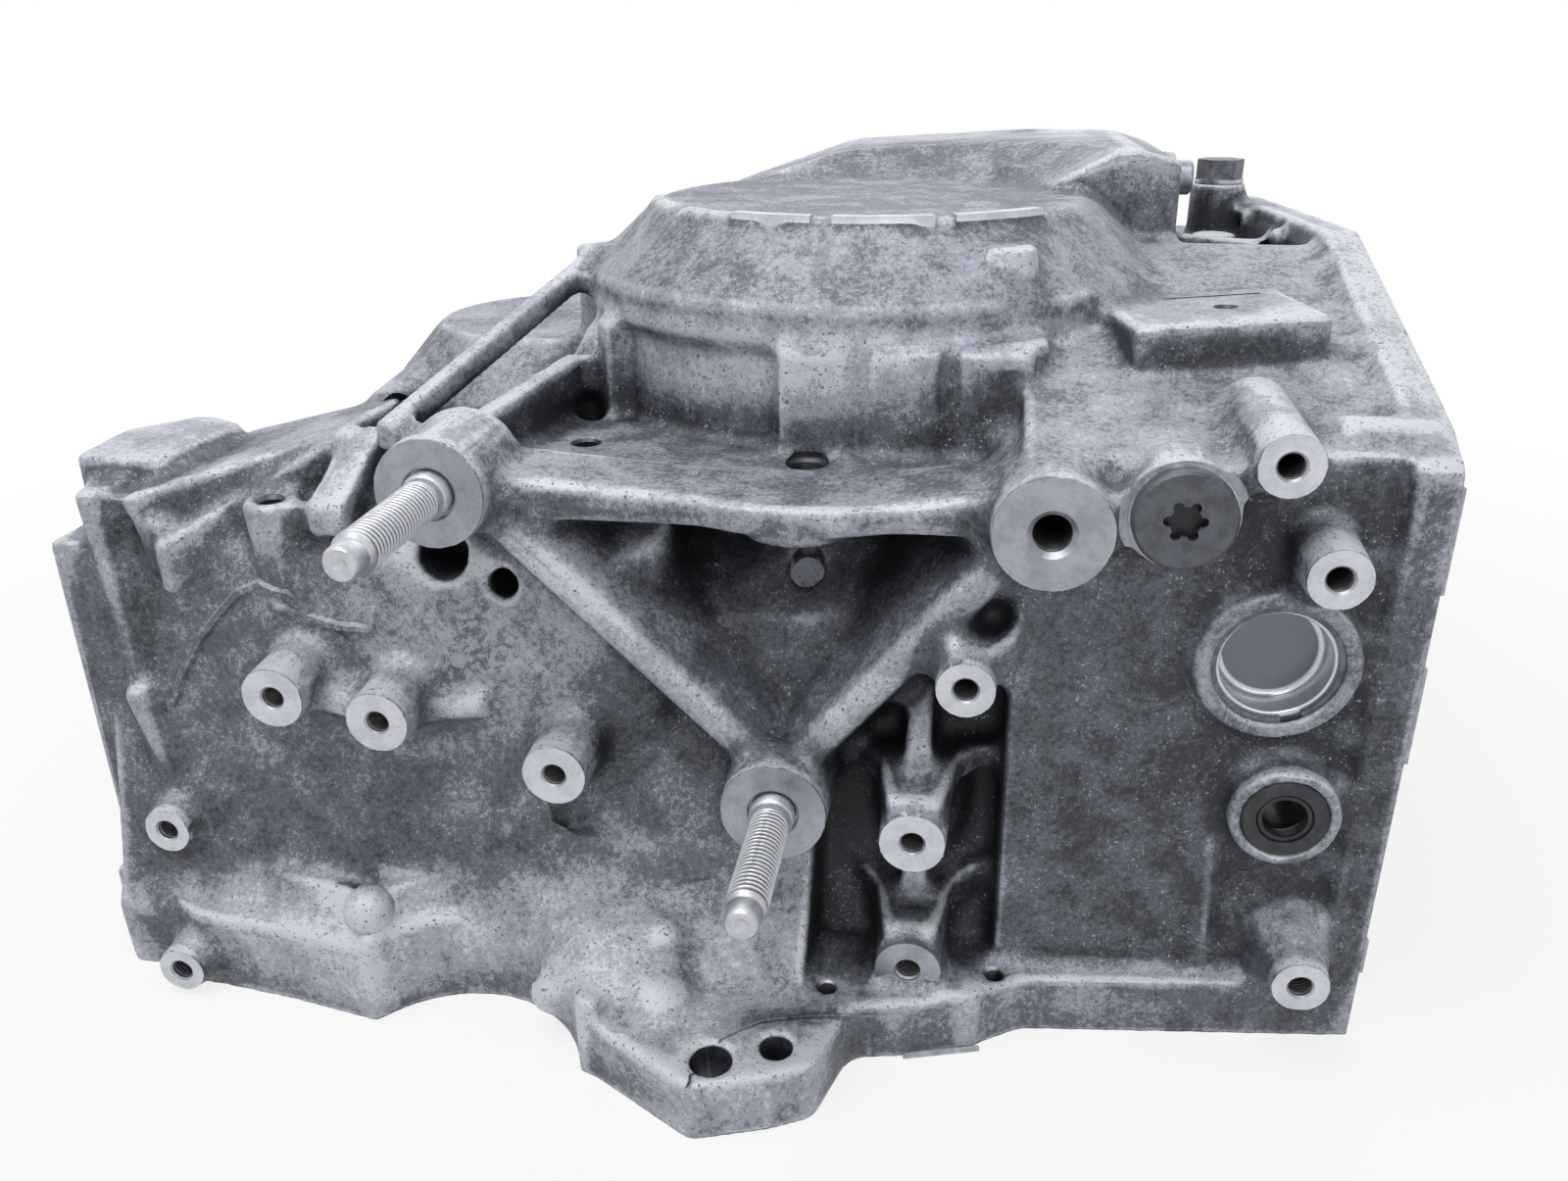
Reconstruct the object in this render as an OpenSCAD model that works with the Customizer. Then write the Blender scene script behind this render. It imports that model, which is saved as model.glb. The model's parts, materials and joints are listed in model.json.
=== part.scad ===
// Die-cast gearbox housing that stands on its mating face, with its studs, plugs,
// shaft seal and pressed-in bearing races.
// X runs along the front wall, Y into the case and Z up along the shaft axes.
// The origin is the clutch drum's axis where it crosses the mating face.

/* [Case] */
// Wall thickness of the casting
wall = 5; // [4:0.5:7]
// Distance from the drum axis to the right side face
case_right = 165; // [150:1:200]
// Distance from the drum axis to the left edge of the flange
case_left = 250; // [235:1:300]
// Distance from the drum axis back to the rear edge of the flange
case_back = 196; // [170:1:240]
// Distance from the drum axis to the front wall at the right corner
front_y = 141; // [135:1:148]
// Height of the front wall's top edge at the right
shoulder_z = 187; // [178:1:196]
// Height of the roof behind the drum
roof_z = 222; // [214:1:230]
// Height of the deck at the left
deck_z = 160; // [140:1:164]
// Height of the rear bell
bell_z = 128; // [100:1:136]

/* [Drum] */
// Outer radius of the clutch drum
drum_r = 98; // [92:1:102]
// Height of the drum's shoulder
drum_z = 215; // [212:1:222]
// Radius of the flat top
top_r = 77; // [60:1:84]
// Height of the flat top
top_z = 237.5; // [232:0.5:244]
// Height of the raised bridge behind the flat top
bridge_z = 252; // [246:1:258]
// Radius of the gear cover at the left of the drum
cover_r = 67; // [60:1:70]
// Height of the gear cover
cover_z = 190; // [180:1:198]

/* [Flange] */
// Thickness of the mating flange
flange_t = 20; // [14:1:24]
// Thickness of the mating flange at the left
flange_left_t = 28; // [22:1:32]
// Radius of the clearance arch in the front edge
arch_r = 40; // [30:1:46]
// Tapping radius of the holes in the mating face
flange_hole_r = 4.2; // [3.4:0.1:5]
// Depth of the tapped holes in the mating face
flange_tap_depth = 16; // [12:1:18]
// Radius of the ear's large hole
ear_hole_r = 6.2; // [5:0.1:7]
// Radius of the ear's small hole
ear_small_r = 4.9; // [4:0.1:5.5]
// Radius of the dowel bores
dowel_r = 5; // [4:0.5:6]
// Depth of the dowel bores
dowel_depth = 12; // [8:1:16]

/* [Side opening] */
// Width of the side flange's face
rim_w = 13; // [10:1:16]
// Thickness of the side flange
rim_t = 11; // [8:1:14]
// Tapping radius of the side flange's holes
rim_hole_r = 3.4; // [2.8:0.1:4]

/* [Mount points] */
// Distance from the drum axis to the three machined mount faces
mount_y = 160; // [156:1:170]
// Radius of the mount bosses
mount_boss_r = 16; // [14:0.5:18]
// Radius of the mount studs
stud_r = 6; // [5:0.5:7]
// Length of stud that stands out of its boss
stud_out = 52; // [30:1:60]
// Length of stud that is screwed into its boss
stud_in = 24; // [16:1:28]
// Tapping radius of the open mount hole
mount_tap_r = 5.2; // [4.2:0.1:6.2]
// Depth of the open mount hole
mount_tap_depth = 34; // [24:1:40]

/* [Small bosses] */
// Radius of the narrow bracket bosses
boss_r = 8.5; // [7.5:0.5:10]
// Radius of the wide bracket bosses
boss_wide_r = 10; // [9:0.5:11]
// Tapping radius of the bracket holes
boss_tap_r = 3.4; // [2.8:0.1:4.2]
// Depth of the bracket holes
boss_tap_depth = 20; // [14:1:26]

/* [Screw plug] */
// Radius of the screw plug's head
plug_head_r = 13.3; // [11:0.1:15]
// Thickness of the screw plug's head
plug_head_t = 4; // [3:0.5:6]
// Radius of the screw plug's shank
plug_shank_r = 9; // [7:0.5:10]
// Length of the screw plug's shank
plug_shank_len = 14; // [10:1:18]

/* [Cup plug] */
// Bore radius for the cup plug
cup_r = 17.6; // [15:0.1:19]
// Depth of the cup plug
cup_depth = 12; // [8:0.5:16]
// Wall of the cup plug's rolled rim
cup_rim = 2.6; // [2:0.1:3.4]

/* [Shaft seal] */
// Bore radius for the shaft seal
seal_r = 12.2; // [11:0.1:13.4]
// Radius of the shaft that the seal is made for
shaft_r = 6; // [5:0.1:7]
// Width of the shaft seal
seal_w = 7; // [5:0.5:9]
// Length of the plain bush behind the seal
bush_len = 16; // [10:1:20]

/* [Bearings] */
// Outer radius of the main bearing race
main_race_r = 31; // [26:0.5:36]
// Outer radius of the counter shaft bearing race
counter_race_r = 26; // [22:0.5:30]
// Outer radius of the output bearing race
output_race_r = 36; // [30:0.5:40]
// Radial wall of the races
race_wall = 4; // [3:0.5:6]
// Height of the races
race_h = 15; // [10:1:20]
// Radial wall of the bosses that hold the races
race_boss_wall = 7; // [5:0.5:10]
// Thickness of the shim under the output race
shim_t = 1.6; // [0.8:0.1:2.4]

/* [Hidden] */
$fn = 48;
eps = 0.02;

// Small radial gap of everything that is pressed or screwed in
fit_gap = 0.02;
// Where the sloping roof meets its crest, and how far the side flange stands above it
crest_y = -8;
rim_proud = 5;
// Angle per segment of a rounded corner
arc_step = 18;

// Centres of the three mount bosses, [x, z]
mount_left = [-107.5, 174];
mount_middle = [-12.8, 78.7];
mount_right = [61.6, 169.9];

// Bracket bosses, [x, z, radius, y of the root]
brackets = [
    [117.7, 190.4, boss_r, -105],
    [133.6, 161.1, boss_r, -136],
    [41.5, 123.3, boss_r, -112],
    [28.4, 71.9, boss_wide_r, -112],
    [-79.2, 86.3, boss_wide_r, -124],
    [-166.2, 106.4, boss_wide_r, -132],
    [-133.4, 100.4, boss_wide_r, -132],
    [142.7, 32.5, boss_r, -136],
    [28.4, 26.3, boss_wide_r, -140]
];

// Plug, cup and seal centres, [x, z]
plug_at = [94.2, 175];
cup_at = [126, 128.5];
seal_at = [133.5, 82.5];
cup_boss_y = 146;
seal_boss_y = 150;
cup_boss_r = cup_r + 4.6;
seal_boss_r = seal_r + 3.4;
plug_boss_r = plug_head_r + 1.6;
cup_seat = 3.4;
snap_t = 1.5;
plug_washer_t = 0.8;
plug_boss_y = mount_y - plug_head_t - plug_washer_t;
lobe_ring_r = 4.25;
lobe_r = 1.4;
bush_wall = 2;
collar_r = 6.8;
collar_t = 2.5;
nose_r = 4.9;
nose_len = 6;
sealant_t = 1.2;
bracket_top = 171;
shelf_t = 8;
strut_w = 10;
strut_y = 150;
lug_at = [-9, -109];
lug_r = 5.5;
// Pockets beside the left mount boss, [x, z], and their radii
pockets = [[-117.7, 145], [-98.6, 137.5]];
pocket_r = [8, 5];

// Bearing bosses inside, [x, y], and the height of their mouths
main_at = [0, 0];
main_mouth_z = 196;
counter_at = [74, 66];
counter_mouth_z = 196;
output_at = [-122, 12];
output_mouth_z = 150;

// Hex plug on the rear roof
hex_at = [141, 128];
hex_af = 17;
hex_head_t = 8;
hex_shank_r = 6;
hex_boss_r = 11.5;
hex_shank_len = 12;
hex_seat_z = roof_z + 8;
washer_t = 1.5;

// Pin in the bridge's right end
pin_r = 6;
pin_len = 22;
pin_out = 6;
pin_at = [26, 241];
bridge_right = 108;
// Height of the ledge round the drum, and how far the flange stands out in front
ledge_z = 206;
ledge = 5;
corner_boss = [-208, 10];
edge_boss = [-214, 53];
corner_boss_r = 8;
ear_holes = [[-25.5, -198.5], [-7.7, -191]];
// Tapped holes in the mating face, in pairs, and two small ones in the flange's top
bolt_edge = 10;
flange_bolts = [
    [44, -156],
    [case_right - bolt_edge, -60],
    [case_right - bolt_edge, 60],
    [130, case_back - 12],
    [60, case_back - 6],
    [-30, case_back - 7],
    [-110, case_back - 32],
    [-180, case_back - 80],
    [-case_left + 18, 30],
    [-case_left + 9, -50]
];
flange_marks = [[4, -164], [55, -151]];
dowels = [[case_right - bolt_edge, 130], [-case_left + bolt_edge, -104]];

// Colours of the materials
cast_grey = [0.52, 0.53, 0.57];
zinc = [0.74, 0.74, 0.77];
steel = [0.62, 0.62, 0.65];
dark_steel = [0.25, 0.26, 0.28];
bearing_steel = [0.7, 0.7, 0.73];
bright_alu = [0.8, 0.8, 0.83];
polished = [0.78, 0.78, 0.8];
brass = [0.66, 0.52, 0.28];
black_rubber = [0.12, 0.12, 0.13];
pale_sealant = [0.7, 0.71, 0.74];

// Outline of the mating flange, [x, y, corner radius], anticlockwise from the front right
arch_at = [-107, -200];
flange_outline = [
    [-64, -190, 4],
    [-30, -210, 2],
    [-8, -203, 6],
    [4, -197, 6],
    [12, -172, 8],
    [28, -169, 8],
    [50, -161, 4],
    [64, -152, 6],
    [case_right, -front_y, 3],
    [case_right, case_back - 12, 10],
    [120, case_back, 20],
    [20, case_back + 6, 60],
    [-90, case_back - 12, 60],
    [-180, case_back - 66, 50],
    [-case_left + 6, case_back - 140, 40],
    [-case_left, -20, 30],
    [-case_left, -121, 8],
    [-236, -141, 6],
    [-216, -160, 8],
    [-204, -167, 10],
    [-172, -171, 30],
    [-140, -177, 4]
];

function along(a, b) = (b - a) / norm(b - a);
function left_of(d) = [-d[1], d[0]];
function xy(p) = [p[0], p[1]];
function turn(v, a) = [v[0] * cos(a) - v[1] * sin(a), v[0] * sin(a) + v[1] * cos(a)];

// One corner of an outline as an arc that touches both of its edges
function corner(a, b, c, r) =
    let (
        d1 = along(a, b),
        d2 = along(b, c),
        cross = d1[0] * d2[1] - d1[1] * d2[0],
        side = cross < 0 ? -1 : 1,
        angle = acos(max(-1, min(1, d1 * d2))),
        reach = min(r * tan(angle / 2), 0.45 * norm(b - a), 0.45 * norm(c - b)),
        rr = angle < 1 ? 0 : reach / tan(angle / 2),
        steps = max(1, ceil(angle / arc_step)),
        centre = b - d1 * reach + left_of(d1) * rr * side
    )
    rr < 0.3 ? [b] : [
        for (k = [0:steps])
            centre + turn(-left_of(d1) * rr * side, side * angle * k / steps)
    ];

function rounded(p) = [
    for (i = [0:len(p) - 1])
        each corner(xy(p[(i + len(p) - 1) % len(p)]), xy(p[i]), xy(p[(i + 1) % len(p)]), p[i][2])
];

// The same outline moved inwards by t, corner by corner
function inset_corner(a, b, c, t) =
    let (n1 = left_of(along(a, b)), n2 = left_of(along(b, c)), m = (n1 + n2) / (1 + n1 * n2))
    b + m * t;
function bends_in(a, b, c) = let (d1 = along(a, b), d2 = along(b, c)) d1[0] * d2[1] < d1[1] * d2[0];
function inset(p, t) = t == 0 ? p : [
    for (i = [0:len(p) - 1])
        let (
            a = xy(p[(i + len(p) - 1) % len(p)]),
            b = xy(p[i]),
            c = xy(p[(i + 1) % len(p)]),
            q = inset_corner(a, b, c, t)
        )
        [q[0], q[1], bends_in(a, b, c) ? p[i][2] + t : max(p[i][2] - t, 0)]
];

module slab(outline, z0, z1) {
    translate([0, 0, z0]) linear_extrude(z1 - z0) polygon(rounded(outline));
}

// A side view [y, z, corner radius] carried along X from x0 to x1
module profile_x(outline, x0, x1) {
    translate([x0, 0, 0]) rotate([90, 0, 90]) linear_extrude(x1 - x0) polygon(rounded(outline));
}

// Puts an upright body on the plane y = -y, pointing into the case or out of it
module inwards(at, y) {
    translate([at[0], -y, at[1]]) rotate([-90, 0, 0]) children();
}
module outwards(at, y) {
    translate([at[0], -y, at[1]]) rotate([90, 0, 0]) children();
}

// A round boss along Y from its front face back to its root
module boss_y(at, face_y, root_y, r, root_r) {
    inwards(at, face_y) cylinder(h = face_y + root_y, r1 = r, r2 = root_r);
}

// A round hole along Y from a front face inwards
module hole_y(at, face_y, depth, r) {
    inwards(at, face_y + 1) cylinder(h = depth + 1, r = r);
}

// Right half: a front wall that falls back, under the sloping roof
right_plan = [
    [54, -145, 3],
    [case_right - rim_t + wall, -front_y + ledge, 2],
    [case_right - rim_t + wall, case_back - 30, 4],
    [54, case_back - 30, 12]
];
roof_side = [
    [-180, -12, 0],
    [case_back - 20, -12, 0],
    [case_back - 30, roof_z - 14, 14],
    [crest_y + 100, roof_z - 6, 30],
    [crest_y, roof_z, 14],
    [-118, shoulder_z + 4, 20],
    [-180, shoulder_z - 8, 0]
];
// Sunken floor of the roof between the bridge and the side flange
sump_z = 206;
sump_plan = [
    [bridge_right + 1, crest_y + 10, 8],
    [case_right - rim_t - 2, crest_y + 6, 6],
    [case_right - rim_t - 2, case_back - 40, 10],
    [bridge_right + 1, case_back - 40, 10]
];
module right_block(t) {
    difference() {
        union() {
            intersection() {
                slab(inset(right_plan, t), -1, bridge_z);
                profile_x(inset(roof_side, t), 0, case_right + 10);
            }
            // Long pad on the roof
            if (t == 0) translate([86.4, -98, 179]) rotate([0, -3, 9.4]) cube([57, 46.5, 32]);
        }
        slab(inset(sump_plan, -t), sump_z - t, bridge_z);
    }
}

// Left half: upright front wall with a sloped foot, under a narrow deck
left_plan = [
    [-236, -170, 0],
    [-120, -170, 0],
    [-98, -148, 12],
    [-48, -130, 12],
    [-48, -62, 4],
    [-150, -48, 20],
    [-214, -66, 14],
    [-238, -96, 10]
];
left_side = [
    [-160, -12, 0],
    [0, -12, 0],
    [0, deck_z, 0],
    [-120, deck_z, 10],
    [-136, deck_z - 14, 14],
    [-141, 90, 30],
    [-156, 34, 12],
    [-162, 24, 3]
];
module left_block(t) {
    intersection() {
        slab(inset(left_plan, t), -1, deck_z + 20);
        profile_x(inset(left_side, t), -case_left - 10, 0);
    }
}

// Low bell that follows the flange all round behind the drum
bell_plan = [
    [-60, -118, 10],
    [60, -118, 10],
    [case_right - 12, -110, 6],
    [case_right - 12, case_back - 26, 14],
    [112, case_back - 14, 20],
    [20, case_back - 8, 60],
    [-84, case_back - 26, 60],
    [-168, case_back - 78, 50],
    [-case_left + 20, case_back - 146, 40],
    [-case_left + 14, -20, 30],
    [-case_left + 16, -112, 8],
    [-210, -118, 10]
];
module bell(t) {
    slab(inset(bell_plan, t), -1, bell_z - t);
}

// Front wall behind the mount triangle, with its steps down to the ear
triangle_side = [
    [-168, -12, 0],
    [0, -12, 0],
    [0, 152, 0],
    [-86, 152, 4],
    [-100, 140, 6],
    [-123, 126, 6],
    [-127, 92, 30],
    [-140, 58, 30],
    [-152, 38, 16],
    [-168, 22, 6]
];
triangle_plan = [
    [-70, -180, 0],
    [-3, -180, 0],
    [-3, 0, 0],
    [-104, 0, 0],
    [-104, -122, 10],
    [-82, -160, 10]
];
channel_side = [
    [-134, -12, 0],
    [0, -12, 0],
    [0, 150, 0],
    [-96, 150, 4],
    [-122, 126, 10],
    [-118, 60, 30],
    [-134, 22, 20]
];
module middle_block(t) {
    intersection() {
        profile_x(inset(triangle_side, t), -120, 20);
        slab(inset(triangle_plan, t), -1, 160);
    }
    profile_x(inset(channel_side, t), -60 + t, 62 - t);
}

// Clutch drum: upright wall, rim line and the cone up to the flat top
module drum(t) {
    translate([0, 0, -1]) cylinder(h = ledge_z + 3 - t, r = drum_r - t, $fn = 96);
    rotate_extrude($fn = 96) polygon(rounded([
        [0, ledge_z - 3, 0],
        [drum_r + 3.5 - t, ledge_z - 3, 0],
        [drum_r + 3.5 - t, drum_z - t, 3],
        [top_r + 2 - t / 2, top_z - 2 - t, 3],
        [top_r - 3 - t / 2, top_z - t, 2],
        [0, top_z - t, 0]
    ]));
    slab(inset([[-20, -99, 4], [61, -99, 6], [61, 0, 0], [-20, 0, 0]], t), -1, ledge_z - t);
}

// Gear cover at the left of the drum
module gear_cover(t) {
    translate([output_at[0], output_at[1], 0]) rotate_extrude($fn = 96) polygon(rounded([
        [0, -1, 0],
        [cover_r - t, -1, 0],
        [cover_r - t, cover_z - 22 - t, 12],
        [cover_r - 16 - t, cover_z - 4 - t, 12],
        [cover_r - 20 - t, cover_z - t, 2],
        [0, cover_z - t, 0]
    ]));
}

// Bridge behind the flat top, open to it along the top's own circle
bridge_plan = [
    [62, 5, 2],
    [bridge_right, 5, 3],
    [bridge_right, 110, 10],
    [60, 150, 30],
    [-20, 150, 20],
    [-62, 96, 20],
    [-70, 50, 8],
    [46, 46, 8]
];
bridge_front = [
    [-80, 100, 0],
    [bridge_right, 100, 0],
    [bridge_right, bridge_z - 4, 4],
    [92, bridge_z, 8],
    [60, bridge_z - 1, 30],
    [-20, bridge_z - 5, 30],
    [-80, top_z - 8, 4]
];
module bridge(t) {
    difference() {
        intersection() {
            slab(inset(bridge_plan, t), 100, bridge_z);
            translate([0, 200, 0]) rotate([90, 0, 0]) linear_extrude(220)
                polygon(rounded(inset(bridge_front, t)));
        }
        translate([0, 0, top_z - t])
            cylinder(h = 30, r1 = top_r - 20 + t, r2 = top_r + 42 + t, $fn = 96);
    }
}

module masses(t) {
    right_block(t);
    left_block(t);
    bell(t);
    middle_block(t);
    drum(t);
    gear_cover(t);
    bridge(t);
}

// Level bar with round ends
module fold(at, angle, length, r) {
    translate(at) rotate([0, 0, angle]) {
        rotate([0, 90, 0]) cylinder(h = length, r = r);
        translate([length, 0, 0]) sphere(r = r - 0.3);
    }
}

// Mating flange with its clearance arch, thicker at the left
module flange() {
    difference() {
        union() {
            slab(flange_outline, 0, flange_t);
            intersection() {
                slab(flange_outline, 0, flange_left_t);
                translate([-case_left - 20, -240, 0]) cube([case_left - 42, 240, 80]);
            }
            flare([-216, -160], [-172, -171], 0);
            flare([-172, -171], [-140, -177], 2);
            flare([-236, -141], [-216, -160], 0);
            intersection() {
                translate([arch_at[0], arch_at[1], 0]) rotate_extrude($fn = 72) polygon([
                    [arch_r - 9, 0],
                    [arch_r - 9, flange_left_t],
                    [arch_r + 4, flange_left_t + 4],
                    [arch_r + 16, flange_left_t + 30],
                    [arch_r + 16, 0]
                ]);
                translate([-142, -176, -1]) cube([80, 36, 42]);
            }
        }
        translate([arch_at[0], arch_at[1], -1]) cylinder(h = 60, r = arch_r, $fn = 72);
    }
    // Folds between the arch and the ear
    fold([-86, -149.5, 36], 4, 25, 8);
    fold([-88, -157.5, 27.5], -3, 38, 11);
    fold([-84, -166, 17], -17, 40, 12);
    translate([-57, -153.6, 38.6]) rotate([0, 5, 0]) cube([26, 8, 2.2]);
    translate([-149, -161, 27]) sphere(r = 9);
    // Corner boss and locating lug at the left
    boss_y(corner_boss, 174, -140, corner_boss_r, corner_boss_r + 1);
    boss_y(edge_boss, 158, -126, corner_boss_r, corner_boss_r + 2);
    translate([-case_left - 6, -136, 2]) cube([26, 16, 17]);
}

// A ridge on the front wall between two [x, z] points, wider at its root by the draft
module strut(a, b, nose_y, root_y, w, draft = 0.05) {
    d = b - a;
    foot = w / 2 + draft * (nose_y + root_y);
    translate([a[0], 0, a[1]]) rotate([0, -atan2(d[1], d[0]), 0]) rotate([90, 0, 90])
        linear_extrude(norm(d)) polygon([
            [-nose_y, -w / 4],
            [-nose_y, w / 4],
            [-nose_y + w / 4, w / 2],
            [root_y, foot],
            [root_y, -foot],
            [-nose_y + w / 4, -w / 2]
        ]);
}

// A bar between two [x, y, z] points along its top, of one depth
module bar(a, b, depth, w) {
    d = [b[0] - a[0], b[1] - a[1]];
    side = [[0, a[2] - depth], [norm(d), b[2] - depth], [norm(d), b[2]], [0, a[2]]];
    translate([a[0], a[1], 0]) rotate([0, 0, atan2(d[1], d[0])])
        translate([0, w / 2, 0]) rotate([90, 0, 0]) linear_extrude(w) polygon(side);
}

// A web that runs from a boss to the wall and falls back on its way
module web(at, angle, length, nose_y, end_y, root_y, w) {
    translate([at[0], 0, at[1]]) rotate([0, -angle, 0]) translate([0, 0, -w / 2])
        linear_extrude(w) polygon([[0, -nose_y], [length, end_y], [length, root_y], [0, root_y]]);
}

// A body with one outline seen from the front and another seen from above
module fan(front, plan, at) {
    intersection() {
        translate([0, -100, 0]) rotate([90, 0, 0]) linear_extrude(70)
            polygon([for (q = front) [q[0] + at[0], q[1] + at[1]]]);
        linear_extrude(160) polygon([for (q = plan) [q[0] + at[0], q[1]]]);
    }
}

// Sloping foot along one straight edge of the flange
module flare(a, b, over) {
    d = b - a;
    foot = [
        [2, 0, 0],
        [2, flange_left_t, 2],
        [7, flange_left_t + 5, 4],
        [13, flange_left_t + 14, 0],
        [13, 0, 0]
    ];
    translate([a[0], a[1], 0]) rotate([0, 0, atan2(d[1], d[0])]) profile_x(foot, -over, norm(d) + over);
}

// Three-point bracket: shelf, lug, two struts and three bosses
module mount_bracket() {
    z1 = bracket_top;
    slab([
        [-100, -147, 6], [-34, -147, 20], [-24, -152, 8], [6, -152, 8],
        [16, -147, 20], [56, -147, 4], [56, -70, 1], [-100, -70, 1]
    ], z1 - shelf_t, z1);
    translate([lug_at[0] + 1, lug_at[1] - 28, z1 - 11.5]) cylinder(h = 10.5, r = lug_r + 10);
    strut(mount_left + [8, -2], [-32, 167], 148, -122, 9);
    strut([-32, 167], [10, 166], 149, -120, 9);
    strut([10, 166], mount_right + [-8, 2], 148, -118, 9);
    intersection() {
        union() {
            strut(mount_left + [6, -4], mount_middle + [-2, 6], strut_y, -106, strut_w, 0.32);
            strut(mount_middle + [2, 6], mount_right + [-4, -4], strut_y, -104, strut_w, 0.3);
        }
        translate([-140, -170, 40]) cube([240, 80, z1 - 41]);
    }
    // Backing of the two pockets beside the left boss
    for (k = [0, 1]) boss_y(pockets[k], 132.5 - 3 * k, -107 - k, pocket_r[k] + 3, pocket_r[k] + 3);
    boss_y(mount_left, mount_y, -128, mount_boss_r, mount_boss_r + 1);
    boss_y(mount_middle, mount_y, -118, mount_boss_r, mount_boss_r + 1);
    boss_y(mount_right, mount_y, -100, mount_boss_r, mount_boss_r + 2);
}

// Fins around the bracket bosses, [x, z] from the boss axis, and how far each stands out
tower_fins = [
    [-9, -7], [9, -7], [12, 6], [29, 13], [29, 18], [12, 16],
    [7, 12], [-7, 12], [-10, 14], [-25, 11], [-25, 7], [-12, 4]
];
foot_fins = [
    [-10, -8], [10, -8], [13, 4], [25, 17], [25, 22], [12, 16],
    [7, 12], [-7, 12], [-10, 14], [-22, 16], [-22, 12], [-12, 4]
];
upper_fins = [
    [-8, -5], [8, -5], [11, 2], [20, 9], [20, 13],
    [6, 9], [-4, 12], [-22, 6], [-22, 2], [-9, 0]
];
core_front = [[-13, -50], [15, -50], [15, 12], [-13, 12]];

// The same bodies seen from above, [x from the boss axis, y]
tower_plan = [
    [-27, -100], [-27, -119], [-12, -134], [-8, -155],
    [8, -155], [12, -134], [31, -124], [31, -100]
];
upper_plan = [[-24, -100], [-20, -138], [-6, -154], [6, -154], [20, -138], [20, -100]];
core_plan = [[-13, -100], [-13, -122], [-5, -130], [7, -130], [15, -122], [15, -100]];

// Bracket bosses with the webs and ribs that carry them
module bracket_bosses() {
    for (b = brackets) boss_y([b[0], b[1]], mount_y, b[3], b[2], b[2] + 1.5);
    // Tower that carries three of the bosses, with its fins
    fan(tower_fins, tower_plan, [brackets[3][0], brackets[3][1]]);
    fan(foot_fins, tower_plan, [brackets[8][0], brackets[8][1]]);
    fan(upper_fins, upper_plan, [brackets[2][0], brackets[2][1]]);
    fan(core_front, core_plan, [brackets[3][0], brackets[3][1]]);
    for (b = [brackets[3], brackets[8]]) web([b[0], b[1]], 90, 36, 152, -126, -108, 8);
    // Foot under the lower right boss
    boss_y([brackets[7][0], brackets[7][1]], mount_y - 8, -130, boss_r + 1, boss_r + 8);
    strut([118, 18], [116, 70], front_y + 1, -130, 5);
}

// Raised work on the roof, the deck and the drum
module roof_work() {
    // Front bead and the side flange's frame
    translate([137, -124, shoulder_z - 2]) rotate([0, 90, 0]) cylinder(h = case_right - 138, r = 9);
    bar([112, 22, 222], [150, 52, 214], 20, 7);
    bar([120, 60, 216], [150, 66, 214], 14, 6);
    translate([134, 84, 190]) cylinder(h = 24, r = 9);
    // Pads and raised arcs of the drum
    for (x = [-19, 8, 35])
        translate([x, -103, bracket_top - 2]) cube([21.5, 20, ledge_z - bracket_top - 1]);
    for (a = [[190, 24], [221, 28], [254, 31], [291, 29]])
        rotate([0, 0, a[0]]) rotate_extrude(angle = a[1], $fn = 96)
            polygon([
                [top_r - 5, top_z - 5],
                [top_r + 2, top_z - 5],
                [top_r + 2, top_z - 0.5],
                [top_r, top_z + 1.2],
                [top_r - 3, top_z + 1.2],
                [top_r - 5, top_z - 0.4]
            ]);
    translate([41, -84, drum_z - 3]) cube([16, 15, 18.5]);
    // Bars that tie the left mount boss to the drum
    bar([-132, -134, 186], [-96, -24, 222], 9, 6);
    translate([-97, -22, 190]) cylinder(h = 32, r = 7);
    bar([-108, -132, 186], [-94, -62, 192], 14, 7);
    rotate([0, 0, 217]) translate([drum_r - 6, -5, 150]) cube([14, 10, ledge_z - 153]);
    // Ribs, bars, blocks and upright bosses of the left deck
    translate([-212, -128, 138]) rotate([0, -14, 0]) linear_extrude(24)
        polygon([[0, -12], [60, 15], [64, 64], [0, 64]]);
    bar([-208, -141, 147], [-154, -112, 178], 16, 6);
    bar([-151, -140, 161], [-147, -112, 180], 10, 13);
    slab(
        [[-241, -127, 5], [-211, -127, 5], [-207, -84, 6], [-226, -74, 8], [-244, -96, 6]],
        140, deck_z + 10
    );
    translate([-171, -134, deck_z - 34]) cylinder(h = 35, r1 = 6.5, r2 = 8.5);
    translate([-209, -134, deck_z - 24]) cylinder(h = 18, r1 = 4, r2 = 6.5);
    // Folds that join the two neighbouring bosses and run on to the right
    strut([-162, 101], [-138, 96], 150, -120, 7, 0.5);
    strut([-130, 95], [-106, 99], 146, -120, 6, 0.5);
    bar([-100, -62, 178], [-90, -46, 200], 40, 10);
    // Boss around the oil drilling in the gear cover
    boss_y([-165, 168], 62, -20, 9, 12);
}

// Left edge: upright band with a rounded bead beside it
module left_band() {
    translate([-case_left + 4, -140, 10]) cube([17, 44, 136]);
    strut([-229, 163], [-224, 96], 142, -120, 7, 0.3);
    strut([-224, 98], [-206, 28], 148, -120, 7, 0.3);
}

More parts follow.
